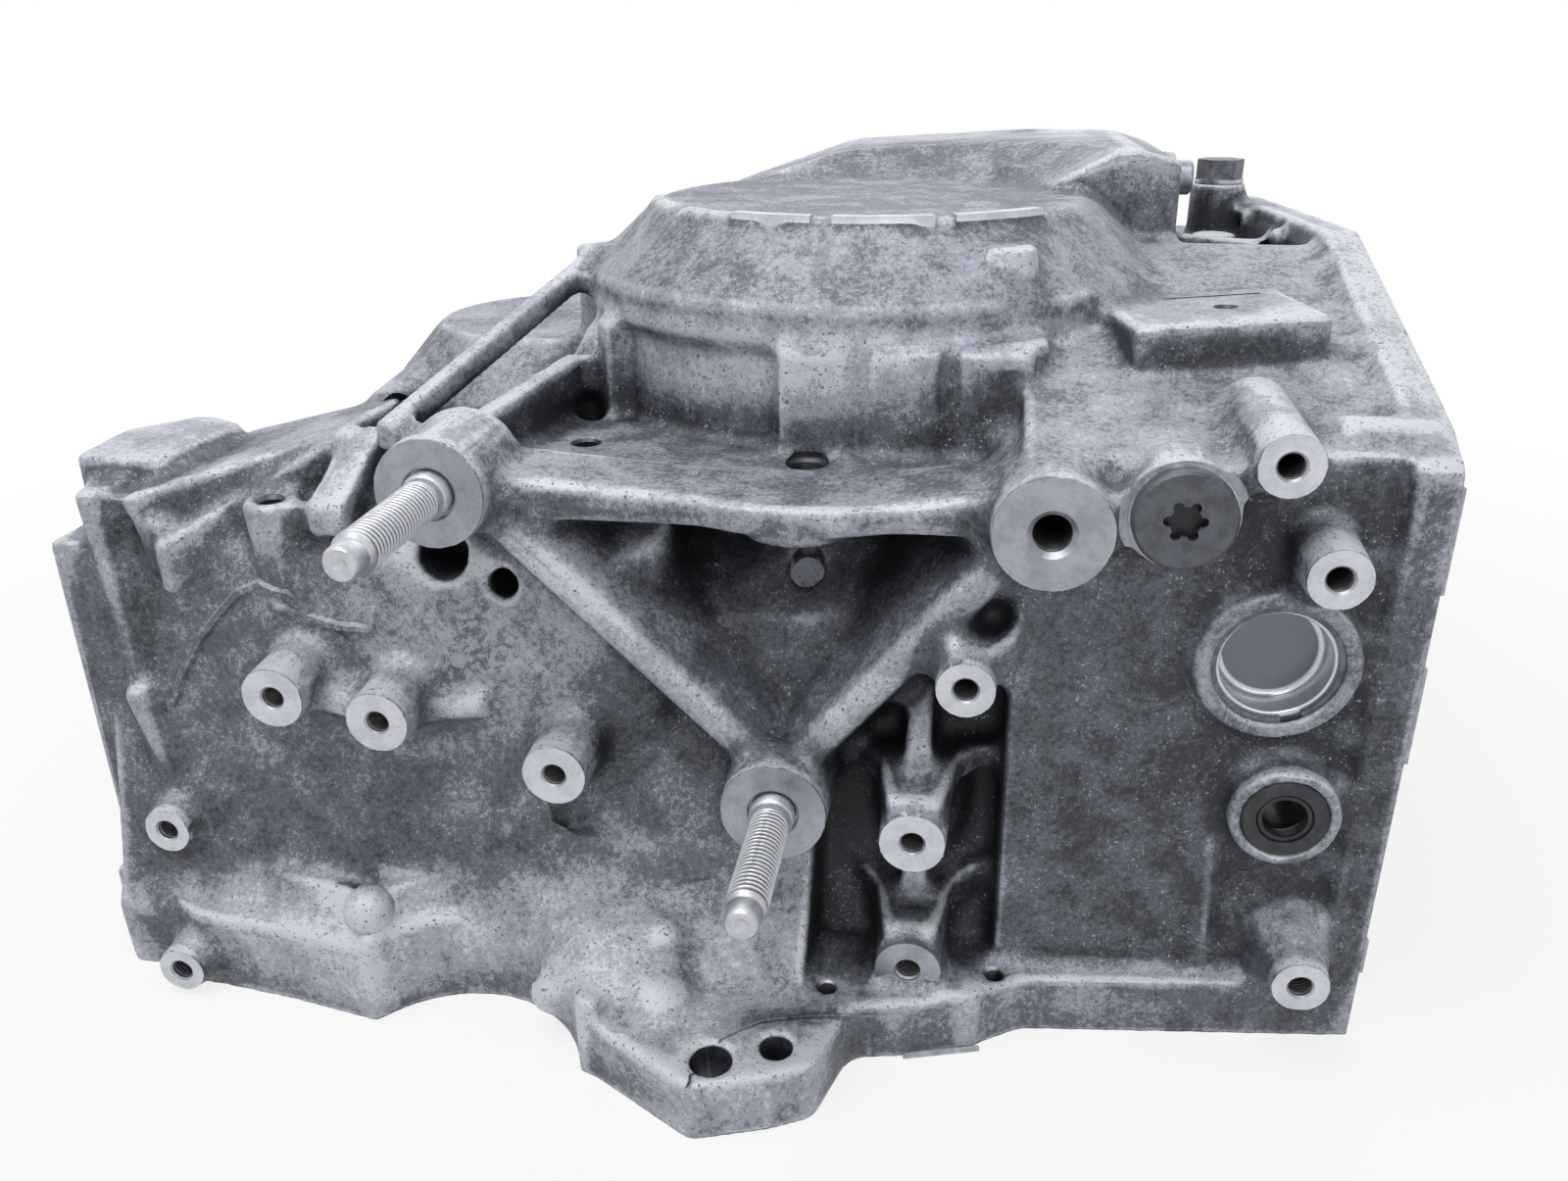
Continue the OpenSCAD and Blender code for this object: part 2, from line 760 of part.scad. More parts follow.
// Flange around the side opening, with its bolt bosses
side_outline = [
    [-front_y, 0, 0],
    [case_back - 18, 0, 0],
    [case_back - 18, roof_z - 2, 14],
    [crest_y, roof_z + rim_proud, 14],
    [-118, shoulder_z + 8, 10],
    [-front_y, shoulder_z - 2, 5]
];
side_bolts = [
    [-front_y + 9, 62], [-front_y + 9, 104], [-front_y + 9, 158],
    [-76, 198], [-24, 212], [42, 214], [110, 213.5], [168, 200],
    [case_back - 27, 130], [case_back - 27, 66],
    [130, 22], [64, 22], [-2, 22], [-68, 22]
];
module side_flange() {
    profile_x(side_outline, case_right - rim_t, case_right);
    for (b = side_bolts)
        translate([case_right - rim_t - 6, b[0], b[1]]) rotate([0, 90, 0])
            cylinder(h = rim_t + 6, r = rim_hole_r + 4);
}

// Bosses for the screw plug, the cup plug and the shaft seal
module plug_bosses() {
    boss_y(plug_at, plug_boss_y, -104, plug_boss_r, plug_boss_r + 1);
    boss_y(cup_at, cup_boss_y, -cup_boss_y + 38, cup_boss_r, cup_boss_r);
    boss_y(seal_at, seal_boss_y, -seal_boss_y + 40, seal_boss_r, seal_boss_r);
    translate([hex_at[0], hex_at[1], sump_z - 8])
        cylinder(h = hex_seat_z - sump_z + 8, r = hex_boss_r);
    translate([bridge_right - pin_len + 2, pin_at[0], pin_at[1]]) rotate([0, 90, 0])
        cylinder(h = pin_len - 2, r = pin_r + 3);
}

// Bosses inside the wall round the flange's tapped holes and dowel bores
module flange_bosses() {
    for (p = flange_bolts)
        translate([p[0], p[1], 0]) cylinder(h = flange_tap_depth + 5, r = flange_hole_r + 4);
    for (p = dowels)
        translate([p[0], p[1], 0]) cylinder(h = dowel_depth + 5, r = dowel_r + 3.5);
}

// Bearing bosses that hang from the roof inside
module bearing_boss(at, mouth_z, top, race_r) {
    translate([at[0], at[1], mouth_z])
        cylinder(h = top - mouth_z, r = race_r + race_boss_wall, $fn = 72);
}
module bearing_bosses() {
    bearing_boss(main_at, main_mouth_z, top_z - 2, main_race_r);
    bearing_boss(counter_at, counter_mouth_z, bridge_z - 8, counter_race_r);
    bearing_boss(output_at, output_mouth_z, cover_z - 2, output_race_r);
}

// Seat of a race, with a smaller relief above it
module race_seat(at, mouth_z, race_r, depth) {
    translate([at[0], at[1], mouth_z - 1]) cylinder(h = depth + 1, r = race_r, $fn = 72);
    translate([at[0], at[1], mouth_z + depth - 1]) cylinder(h = 9, r = race_r - race_wall - 3, $fn = 72);
}

// Everything that is bored, drilled and tapped after casting
module machining() {
    for (b = brackets) hole_y([b[0], b[1]], mount_y, boss_tap_depth, boss_tap_r);
    for (m = [mount_left, mount_middle]) {
        hole_y(m, mount_y, stud_in + 2, mount_tap_r);
        hole_y(m, mount_y, collar_t, collar_r + 0.6);
    }
    hole_y(mount_right, mount_y, mount_tap_depth, mount_tap_r);
    inwards(mount_right, mount_y + eps) cylinder(h = 1.6, r1 = mount_tap_r + 1.6, r2 = mount_tap_r);
    // Screw plug, cup plug and seal bores
    hole_y(plug_at, plug_boss_y, 60, plug_shank_r);
    hole_y(cup_at, cup_boss_y, cup_seat + cup_depth, cup_r);
    hole_y(cup_at, cup_boss_y, 60, cup_r - 3);
    inwards(cup_at, cup_boss_y - cup_seat + snap_t) cylinder(h = snap_t, r = cup_r + 1.4);
    hole_y(seal_at, seal_boss_y, seal_w + 0.5, seal_r);
    hole_y(seal_at, seal_boss_y, seal_w + 1.5 + bush_len, shaft_r + bush_wall);
    hole_y(seal_at, seal_boss_y, 60, shaft_r + 0.6);
    // Corner bosses at the left
    hole_y(corner_boss, 174, boss_tap_depth, boss_tap_r);
    hole_y(edge_boss, 158, boss_tap_depth, boss_tap_r);
    // Shelf and deck holes
    translate([lug_at[0], lug_at[1], bracket_top - 40]) cylinder(h = 50, r = lug_r);
    translate([-82, -96, bracket_top - 20]) cylinder(h = 30, r = 4);
    translate([-171, -134, deck_z - 18]) cylinder(h = 30, r = 3.4);
    hole_y([-165, 168], 62, 26, 5);
    // Pockets beside the left mount boss
    for (k = [0, 1]) hole_y(pockets[k], 150, 38, pocket_r[k]);
    // Groove and drilling of the long pad
    translate([86.4, -98, 179]) rotate([0, -3, 9.4]) {
        translate([4, 42, 30.5]) cube([40, 2, 3]);
        translate([26, 28, 25]) cylinder(h = 10, r = 2.4);
    }
    // Flange holes
    translate([ear_holes[0][0], ear_holes[0][1], -1]) cylinder(h = flange_t + 2, r = ear_hole_r);
    translate([ear_holes[1][0], ear_holes[1][1], -1]) cylinder(h = flange_t + 2, r = ear_small_r);
    for (p = flange_bolts)
        translate([p[0], p[1], -1]) cylinder(h = flange_tap_depth + 1, r = flange_hole_r);
    for (p = flange_marks) translate([p[0], p[1], flange_t - 12]) cylinder(h = 20, r = 2.6);
    for (p = dowels) translate([p[0], p[1], -1]) cylinder(h = dowel_depth + 1, r = dowel_r);
    // Side opening and its tapped holes
    profile_x(inset(side_window, rim_w), case_right - 40, case_right + 1);
    for (b = side_bolts)
        translate([case_right - rim_t - 7, b[0], b[1]]) rotate([0, 90, 0])
            cylinder(h = rim_t + 8, r = rim_hole_r);
    // Hex plug and pin
    translate([hex_at[0], hex_at[1], hex_seat_z - hex_shank_len - 2])
        cylinder(h = 30, r = hex_shank_r);
    translate([bridge_right - pin_len + pin_out, pin_at[0], pin_at[1]]) rotate([0, 90, 0])
        cylinder(h = pin_len, r = pin_r);
    // Bearing seats
    race_seat(main_at, main_mouth_z, main_race_r, race_h + 2);
    race_seat(counter_at, counter_mouth_z, counter_race_r, race_h + 2);
    race_seat(output_at, output_mouth_z, output_race_r, race_h + shim_t + 2);
}
side_window = [
    [-front_y + 3, 16, 6],
    [case_back - 22, 16, 6],
    [case_back - 22, roof_z - 4, 14],
    [crest_y, roof_z - 2, 14],
    [-118, shoulder_z + 4, 10],
    [-front_y + 3, shoulder_z - 6, 8]
];

// The casting, in one piece
module main_case() {
    color(cast_grey) difference() {
        union() {
            difference() {
                union() {
                    masses(0);
                    flange();
                    roof_work();
                    left_band();
                    side_flange();
                }
                masses(wall);
            }
            mount_bracket();
            bracket_bosses();
            plug_bosses();
            bearing_bosses();
            flange_bosses();
        }
        machining();
        translate([0, 0, -20]) cube([900, 900, 40], center = true);
    }
}

// Stud with a plain collar at the boss and a reduced nose
module mount_stud(at) {
    outwards(at, mount_y) {
        translate([0, 0, -stud_in]) cylinder(h = stud_in, r = mount_tap_r - fit_gap);
        translate([0, 0, -collar_t + fit_gap]) cylinder(h = collar_t + 3, r = collar_r);
        cylinder(h = stud_out - nose_len, r = stud_r);
        translate([0, 0, stud_out - nose_len]) cylinder(h = 1.2, r1 = stud_r, r2 = nose_r);
        cylinder(h = stud_out - 1, r = nose_r);
        translate([0, 0, stud_out - 1]) cylinder(h = 1, r1 = nose_r, r2 = nose_r - 1);
    }
}
module mount_stud_left() {
    color(zinc) mount_stud(mount_left);
}
module mount_stud_middle() {
    color(zinc) mount_stud(mount_middle);
}

// Round-headed screw plug with a six-lobed socket
module screw_plug() {
    color(dark_steel) outwards(plug_at, plug_boss_y + plug_washer_t + fit_gap)
        difference() {
            union() {
                cylinder(h = plug_head_t - 0.8, r = plug_head_r, $fn = 72);
                translate([0, 0, plug_head_t - 0.8])
                    cylinder(h = 0.8, r1 = plug_head_r, r2 = plug_head_r - 0.8, $fn = 72);
                translate([0, 0, -plug_shank_len])
                    cylinder(h = plug_shank_len + 1, r = plug_shank_r - fit_gap);
            }
            translate([0, 0, plug_head_t - 3.4]) linear_extrude(6) {
                circle(r = lobe_ring_r - 0.2);
                for (k = [0:5]) rotate(60 * k) translate([lobe_ring_r, 0]) circle(r = lobe_r, $fn = 24);
            }
        }
}
module screw_plug_washer() {
    color(bright_alu) outwards(plug_at, plug_boss_y + fit_gap / 2) difference() {
        cylinder(h = plug_washer_t, r = plug_head_r + 0.5, $fn = 72);
        translate([0, 0, -1]) cylinder(h = 4, r = plug_shank_r + 0.3);
    }
}

// Deep cup that closes the servo bore, with a rolled rim
module cup_plug() {
    color(polished) inwards(cup_at, cup_boss_y - cup_seat) rotate_extrude($fn = 96)
        polygon(rounded([
            [0, cup_depth - 2.2, 0],
            [cup_r - cup_rim, cup_depth - 2.2, 1.5],
            [cup_r - cup_rim, 0, 0.8],
            [cup_r - fit_gap, 0, 1],
            [cup_r - fit_gap, cup_depth - 6.2, 0],
            [cup_r - 1.9, cup_depth - 6.2, 0],
            [cup_r - 1.9, cup_depth - 3.4, 0],
            [cup_r - fit_gap, cup_depth - 3.4, 0],
            [cup_r - fit_gap, cup_depth - fit_gap, 0],
            [0, cup_depth - fit_gap, 0]
        ]));
}
module cup_plug_snap_ring() {
    color(dark_steel) inwards(cup_at, cup_boss_y - cup_seat + snap_t - fit_gap)
        rotate([0, 0, 80]) rotate_extrude(angle = 340, $fn = 96)
            translate([cup_r - 1.4, 0]) square([2.7, snap_t - 2 * fit_gap]);
}
module cup_plug_o_ring() {
    color(black_rubber) inwards(cup_at, cup_boss_y - cup_seat - cup_depth + 4.8)
        rotate_extrude($fn = 72) translate([cup_r - 0.95, 0]) circle(r = 0.9, $fn = 24);
}

// Shaft seal: pressed metal shell, rubber lip and its garter spring, with the plain bush behind
module shaft_seal_shell() {
    color(black_rubber) inwards(seal_at, seal_boss_y - 0.5) rotate_extrude($fn = 72)
        polygon([
            [seal_r - 1.6, 1.6],
            [seal_r - 4.2, 1.6],
            [seal_r - 4.2, 0.4],
            [seal_r - 0.6, 0],
            [seal_r - fit_gap, 0.6],
            [seal_r - fit_gap, seal_w - fit_gap],
            [seal_r - 1.6, seal_w - fit_gap]
        ]);
}
module shaft_seal_lip() {
    color(black_rubber) inwards(seal_at, seal_boss_y - 0.5) rotate_extrude($fn = 72)
        polygon([
            [seal_r - 1.6 - fit_gap, 1.6 + fit_gap],
            [seal_r - 1.6 - fit_gap, 3.2],
            [shaft_r + 2.6, 3.2],
            [shaft_r + 2, 3.9],
            [shaft_r + 1.7, 5.2],
            [shaft_r + 0.9, 5.2],
            [shaft_r + 0.1, 4.2],
            [shaft_r + 0.8, 2.6],
            [shaft_r + 0.3, 0.9],
            [shaft_r + 1.4, 0.9],
            [shaft_r + 1.8, 1.6 + fit_gap]
        ]);
}
module shaft_seal_spring() {
    color(steel) inwards(seal_at, seal_boss_y - 5.1) rotate_extrude($fn = 72)
        translate([shaft_r + 2.55, 0]) circle(r = 0.6, $fn = 20);
}
module shaft_bush() {
    color(brass) inwards(seal_at, seal_boss_y - seal_w - 1.5) difference() {
        cylinder(h = bush_len - fit_gap, r = shaft_r + bush_wall - fit_gap);
        translate([0, 0, -1]) cylinder(h = bush_len + 2, r = shaft_r + 0.03);
    }
}

// Hexagon-headed test plug on the rear roof, with its washer
module hex_plug() {
    color(dark_steel) translate([hex_at[0], hex_at[1], hex_seat_z + washer_t + fit_gap]) {
        cylinder(h = hex_head_t, r = hex_af / 2 / cos(30), $fn = 6);
        translate([0, 0, -hex_shank_len]) cylinder(h = hex_shank_len + 1, r = hex_shank_r - fit_gap);
    }
}
module hex_plug_washer() {
    color(bright_alu) translate([hex_at[0], hex_at[1], hex_seat_z + fit_gap / 2]) difference() {
        cylinder(h = washer_t, r = hex_boss_r - 1.2);
        translate([0, 0, -1]) cylinder(h = 4, r = hex_shank_r + 0.3);
    }
}

// Pin pressed into the end of the bridge
module side_pin() {
    pin_x = bridge_right - pin_len + pin_out + fit_gap;
    color(steel) translate([pin_x, pin_at[0], pin_at[1]]) rotate([0, 90, 0]) {
        cylinder(h = pin_len - 1, r = pin_r - fit_gap);
        translate([0, 0, pin_len - 1]) cylinder(h = 1, r1 = pin_r - fit_gap, r2 = pin_r - 1);
    }
}

// Tapered bearing race pressed into its seat
module race(at, mouth_z, race_r) {
    color(bearing_steel) translate([at[0], at[1], mouth_z + 2 - fit_gap]) rotate_extrude($fn = 96)
        polygon([
            [race_r - race_wall - 2, race_h],
            [race_r - race_wall + 1.4, 0],
            [race_r - fit_gap - 0.8, 0],
            [race_r - fit_gap, 0.8],
            [race_r - fit_gap, race_h - 0.8],
            [race_r - fit_gap - 0.8, race_h]
        ]);
}
module main_bearing_race() {
    race(main_at, main_mouth_z, main_race_r);
}
module counter_bearing_race() {
    race(counter_at, counter_mouth_z, counter_race_r);
}
module output_bearing_race() {
    race(output_at, output_mouth_z, output_race_r);
}
module output_race_shim() {
    color(steel) translate([output_at[0], output_at[1], output_mouth_z + race_h + 2]) difference() {
        cylinder(h = shim_t - fit_gap, r = output_race_r - 0.1, $fn = 72);
        translate([0, 0, -1]) cylinder(h = 4, r = output_race_r - race_wall - 2, $fn = 72);
    }
}

// What is left of the sealant on the two joint faces
module sealant_bead() {
    color(pale_sealant) {
        for (s = [[150, 180], [98, 128], [24, 36]])
            translate([case_right + fit_gap, -front_y + 1, s[0]]) cube([sealant_t, 4, s[1] - s[0]]);
        translate([28, -169, 0.2]) rotate([0, 0, 16]) translate([0, -1.4, 0]) cube([24, 1.2, sealant_t]);
    }
}

main_case();
mount_stud_left();
mount_stud_middle();
screw_plug();
screw_plug_washer();
cup_plug();
cup_plug_snap_ring();
cup_plug_o_ring();
shaft_seal_shell();
shaft_seal_lip();
shaft_seal_spring();
shaft_bush();
hex_plug();
hex_plug_washer();
side_pin();
main_bearing_race();
counter_bearing_race();
output_bearing_race();
output_race_shim();
sealant_bead();
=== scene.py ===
import json
import math

import bmesh
import bpy
import numpy as np
from mathutils import Matrix, Vector
from mathutils.bvhtree import BVHTree


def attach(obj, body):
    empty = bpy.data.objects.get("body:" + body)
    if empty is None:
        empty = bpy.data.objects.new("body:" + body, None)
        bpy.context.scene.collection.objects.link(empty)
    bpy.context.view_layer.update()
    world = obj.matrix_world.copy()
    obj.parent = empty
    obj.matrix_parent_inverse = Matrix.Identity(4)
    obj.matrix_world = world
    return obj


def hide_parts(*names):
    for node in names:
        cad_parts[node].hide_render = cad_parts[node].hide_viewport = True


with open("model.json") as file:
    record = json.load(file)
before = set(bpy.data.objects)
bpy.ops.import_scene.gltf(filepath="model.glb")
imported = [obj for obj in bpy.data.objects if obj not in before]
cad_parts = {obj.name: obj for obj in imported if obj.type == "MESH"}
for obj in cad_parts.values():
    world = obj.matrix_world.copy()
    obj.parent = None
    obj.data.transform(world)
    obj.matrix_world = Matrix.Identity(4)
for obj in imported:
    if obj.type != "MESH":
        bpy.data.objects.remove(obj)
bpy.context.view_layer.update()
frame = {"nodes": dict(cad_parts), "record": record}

MM = 0.001
scene = bpy.context.scene
nodes = frame["nodes"]


# Camera, from the photograph's boss ellipses and upright edges

CAMERA_AT = (0.0395, -0.469, 0.286)
CAMERA_PITCH = 23.40
CAMERA_YAW = 8.85
CAMERA_ROLL = -0.65
LENS_MM = 28.82
SENSOR_MM = 36


def make_camera():
    data = bpy.data.cameras.new("camera")
    data.lens = LENS_MM
    data.sensor_width = SENSOR_MM
    data.clip_start = 0.01
    data.clip_end = 20
    camera = bpy.data.objects.new("camera", data)
    scene.collection.objects.link(camera)
    turn = Matrix.Rotation(math.radians(CAMERA_YAW), 4, "Z")
    tilt = Matrix.Rotation(math.radians(90 - CAMERA_PITCH), 4, "X")
    roll = Matrix.Rotation(math.radians(CAMERA_ROLL), 4, "Z")
    camera.matrix_world = Matrix.Translation(CAMERA_AT) @ turn @ tilt @ roll
    scene.camera = camera


make_camera()


# Sizes repeated from the part's source, in millimetres

MOUNT_Y = -160
MATING_Z = 0
SIDE_X = 165
MOUNT_BOSS_R = 16
MOUNT_LEFT = (-107.5, 174)
MOUNT_MIDDLE = (-12.8, 78.7)
MOUNT_RIGHT = (61.6, 169.9)
STUD_PITCH = 1.75
NARROW_R = 8.5
WIDE_R = 10
TAP_DEPTH = 20
FLANGE_TAP_DEPTH = 16
MOUNT_TAP_DEPTH = 34
DOWEL_R = 5
DOWEL_DEPTH = 12
BOSSES = [
    (117.7, 190.4, NARROW_R),
    (133.6, 161.1, NARROW_R),
    (41.5, 123.3, NARROW_R),
    (28.4, 71.9, WIDE_R),
    (-79.2, 86.3, WIDE_R),
    (-166.2, 106.4, WIDE_R),
    (-133.4, 100.4, WIDE_R),
    (142.7, 32.5, NARROW_R),
]
RAW_BOSS = (28.4, 26.3, WIDE_R)
CORNER_BOSSES = [(-208, 10, -174, 8), (-214, 53, -158, 8)]
CUP_AT = (126, 128.5)
CUP_BOSS_Y = -146
SEAL_AT = (133.5, 82.5)
SEAL_BOSS_Y = -150
PLUG_AT = (94.2, 175)
PLUG_BOSS_Y = -155.2
PLUG_BOSS_R = 14.9
EAR_HOLES = [(-25.5, -198.5, 6.2), (-7.7, -191, 4.9)]
EAR_TOP = 20
EAR_HOLE_DEPTH = 30
FLANGE_MARKS = [(4, -164), (55, -151)]
FLANGE_MARK_R = 2.6
FLANGE_MARK_DEPTH = 12
SIDE_BOLTS = [
    (-132, 62),
    (-132, 104),
    (-132, 158),
    (-76, 198),
    (-24, 212),
    (42, 214),
    (110, 213.5),
    (168, 200),
    (169, 130),
    (169, 66),
    (130, 22),
    (64, 22),
    (-2, 22),
    (-68, 22),
]
FLANGE_BOLTS = [
    (44, -156),
    (155, -60),
    (155, 60),
    (130, 184),
    (60, 190),
    (-30, 189),
    (-110, 164),
    (-180, 116),
    (-232, 30),
    (-241, -50),
]
DOWELS = [(155, 130), (-240, -104)]
TOP_HOLES = [(-9, -109, 170.5, 5.5, 40), (-82, -96, 171, 4, 20), (-171, -134, 161, 3.4, 19)]

# Stepped bores, as (radius, depth) pairs from the mouth inwards
STUD_BORE = [(7.6, 2.5), (5.3, 26)]
CUP_BORE = [(17.62, 1.9), (19, 3.4), (17.62, 15.4), (14.6, 60)]
SEAL_BORE = [(12.22, 7.5), (8.02, 24.5), (6.6, 60)]
PLUG_BORE = [(9.05, 60)]

# Tapped holes: drilled radius, outer radius of the thread and pitch
M8 = (3.4, 4.0, 1.25)
M10 = (4.2, 5.0, 1.5)
M12 = (5.2, 6.0, STUD_PITCH)


# Mesh helpers

def new_object(name, mesh):
    piece = bpy.data.objects.new(name, mesh)
    scene.collection.objects.link(piece)
    return piece


def mesh_from(name, points, faces):
    """A mesh from points in millimetres."""
    mesh = bpy.data.meshes.new(name)
    mesh.from_pydata([tuple(c * MM for c in p) for p in points], [], faces)
    mesh.validate()
    return mesh


def lathe(name, profile, place, segments=64):
    """Revolves (radius, height) pairs about Z and places the result.

    An end on the axis is closed to a point.
    """
    points = []
    rings = []
    for radius, height in profile:
        if radius < 1e-6:
            rings.append([len(points)] * segments)
            points.append((0, 0, height))
            continue
        start = len(points)
        for k in range(segments):
            angle = 2 * math.pi * k / segments
            points.append((radius * math.cos(angle), radius * math.sin(angle), height))
        rings.append([start + k for k in range(segments)])
    faces = []
    for low, high in zip(rings, rings[1:]):
        for k in range(segments):
            n = (k + 1) % segments
            corners = [low[k], low[n], high[n], high[k]]
            kept = [c for i, c in enumerate(corners) if c != corners[i - 1]]
            if len(kept) > 2:
                faces.append(kept)
    mesh = mesh_from(name, points, faces)
    mesh.transform(place)
    return mesh


def along(direction, at):
    """A matrix that takes local Z to a direction and the origin to a point in millimetres."""
    turn = Vector(direction).to_track_quat("Z", "Y").to_matrix().to_4x4()
    return Matrix.Translation(Vector(at) * MM) @ turn


FRONT = (0, -1, 0)
BACK = (0, 1, 0)
UP = (0, 0, 1)
DOWN = (0, 0, -1)
RIGHT = (1, 0, 0)


def disc(x, z, y0, y1, radius):
    """A disc across Y, from y0 to y1."""
    profile = [(0, 0), (radius, 0), (radius, y1 - y0), (0, y1 - y0)]
    return lathe("disc", profile, along(BACK, (x, y0, z)))


def ball(x, y, z, radius):
    """A ball, with its poles along Y."""
    sides = 32
    profile = [(0, -radius)]
    for k in range(1, sides // 2):
        angle = math.pi * k / (sides // 2)
        profile.append((radius * math.sin(angle), -radius * math.cos(angle)))
    profile.append((0, radius))
    return lathe("ball", profile, along(FRONT, (x, y, z)), sides)


def box_mesh(name, low, high):
    mesh = bpy.data.meshes.new(name)
    work = bmesh.new()
    bmesh.ops.create_cube(work, size=1)
    size = Vector(high) - Vector(low)
    middle = (Vector(high) + Vector(low)) / 2
    for v in work.verts:
        v.co = Vector(c * s + m for c, s, m in zip(v.co, size, middle)) * MM
    work.to_mesh(mesh)
    work.free()
    return mesh


def prism(name, left, right, z0, z1):
    """A closed upright strip between two rows of points."""
    outline = left + right[::-1]
    n = len(outline)
    points = [(x, y, z0) for x, y in outline] + [(x, y, z1) for x, y in outline]
    faces = [tuple(range(n))[::-1], tuple(range(n, 2 * n))]
    faces += [(k, (k + 1) % n, n + (k + 1) % n, n + k) for k in range(n)]
    return mesh_from(name, points, faces)


def joined(name, meshes):
    """One mesh of several closed ones that don't touch each other."""
    work = bmesh.new()
    for mesh in meshes:
        work.from_mesh(mesh)
    mesh = bpy.data.meshes.new(name)
    work.to_mesh(mesh)
    work.free()
    return mesh


def apply_modifiers(piece):
    graph = bpy.context.evaluated_depsgraph_get()
    mesh = bpy.data.meshes.new_from_object(piece.evaluated_get(graph))
    piece.modifiers.clear()
    piece.data = mesh


def combine(piece, meshes, operation):
    """Adds or cuts closed meshes, one solid operation for each."""
    for mesh in meshes:
        tool = new_object("tool", mesh)
        step = piece.modifiers.new("combine", "BOOLEAN")
        step.operation = operation
        step.solver = "MANIFOLD"
        step.material_mode = "TRANSFER"
        step.object = tool
        apply_modifiers(piece)
        bpy.data.objects.remove(tool)


def coordinates(mesh):
    out = np.zeros(len(mesh.vertices) * 3)
    mesh.vertices.foreach_get("co", out)
    return out.reshape(-1, 3)


def set_coordinates(mesh, points):
    mesh.vertices.foreach_set("co", points.astype(np.float32).ravel())
    mesh.update()


def vertex_normals(mesh):
    out = np.zeros(len(mesh.vertices) * 3)
    mesh.vertices.foreach_get("normal", out)
    return out.reshape(-1, 3)


def weld(mesh, distance):
    """Joins the vertices that lie within a distance in millimetres."""
    work = bmesh.new()
    work.from_mesh(mesh)
    bmesh.ops.remove_doubles(work, verts=work.verts, dist=distance * MM)
    work.to_mesh(mesh)
    work.free()


def split_edges(piece, degrees):
    """Smooth shading that breaks at edges sharper than an angle."""
    piece.data.shade_smooth()
    split = piece.modifiers.new("edges", "EDGE_SPLIT")
    split.split_angle = math.radians(degrees)


def add_attribute(mesh, name, values, kind="FLOAT"):
    attribute = mesh.attributes.new(name, kind, "POINT")
    field = "value" if kind == "FLOAT" else "vector"
    attribute.data.foreach_set(field, values.astype(np.float32).ravel())


def read_attribute(mesh, name):
    values = np.zeros(len(mesh.vertices), np.float32)
    mesh.attributes[name].data.foreach_get("value", values)
    return values


def write_attribute(mesh, name, values):
    mesh.attributes[name].data.foreach_set("value", values.astype(np.float32))


# Materials

def linear(colour):
    """Scene colour of an 8-bit screen colour, opaque."""
    out = []
    for value in colour:
        share = value / 255
        out.append(share / 12.92 if value < 11 else ((share + 0.055) / 1.055) ** 2.4)
    return (*out, 1)


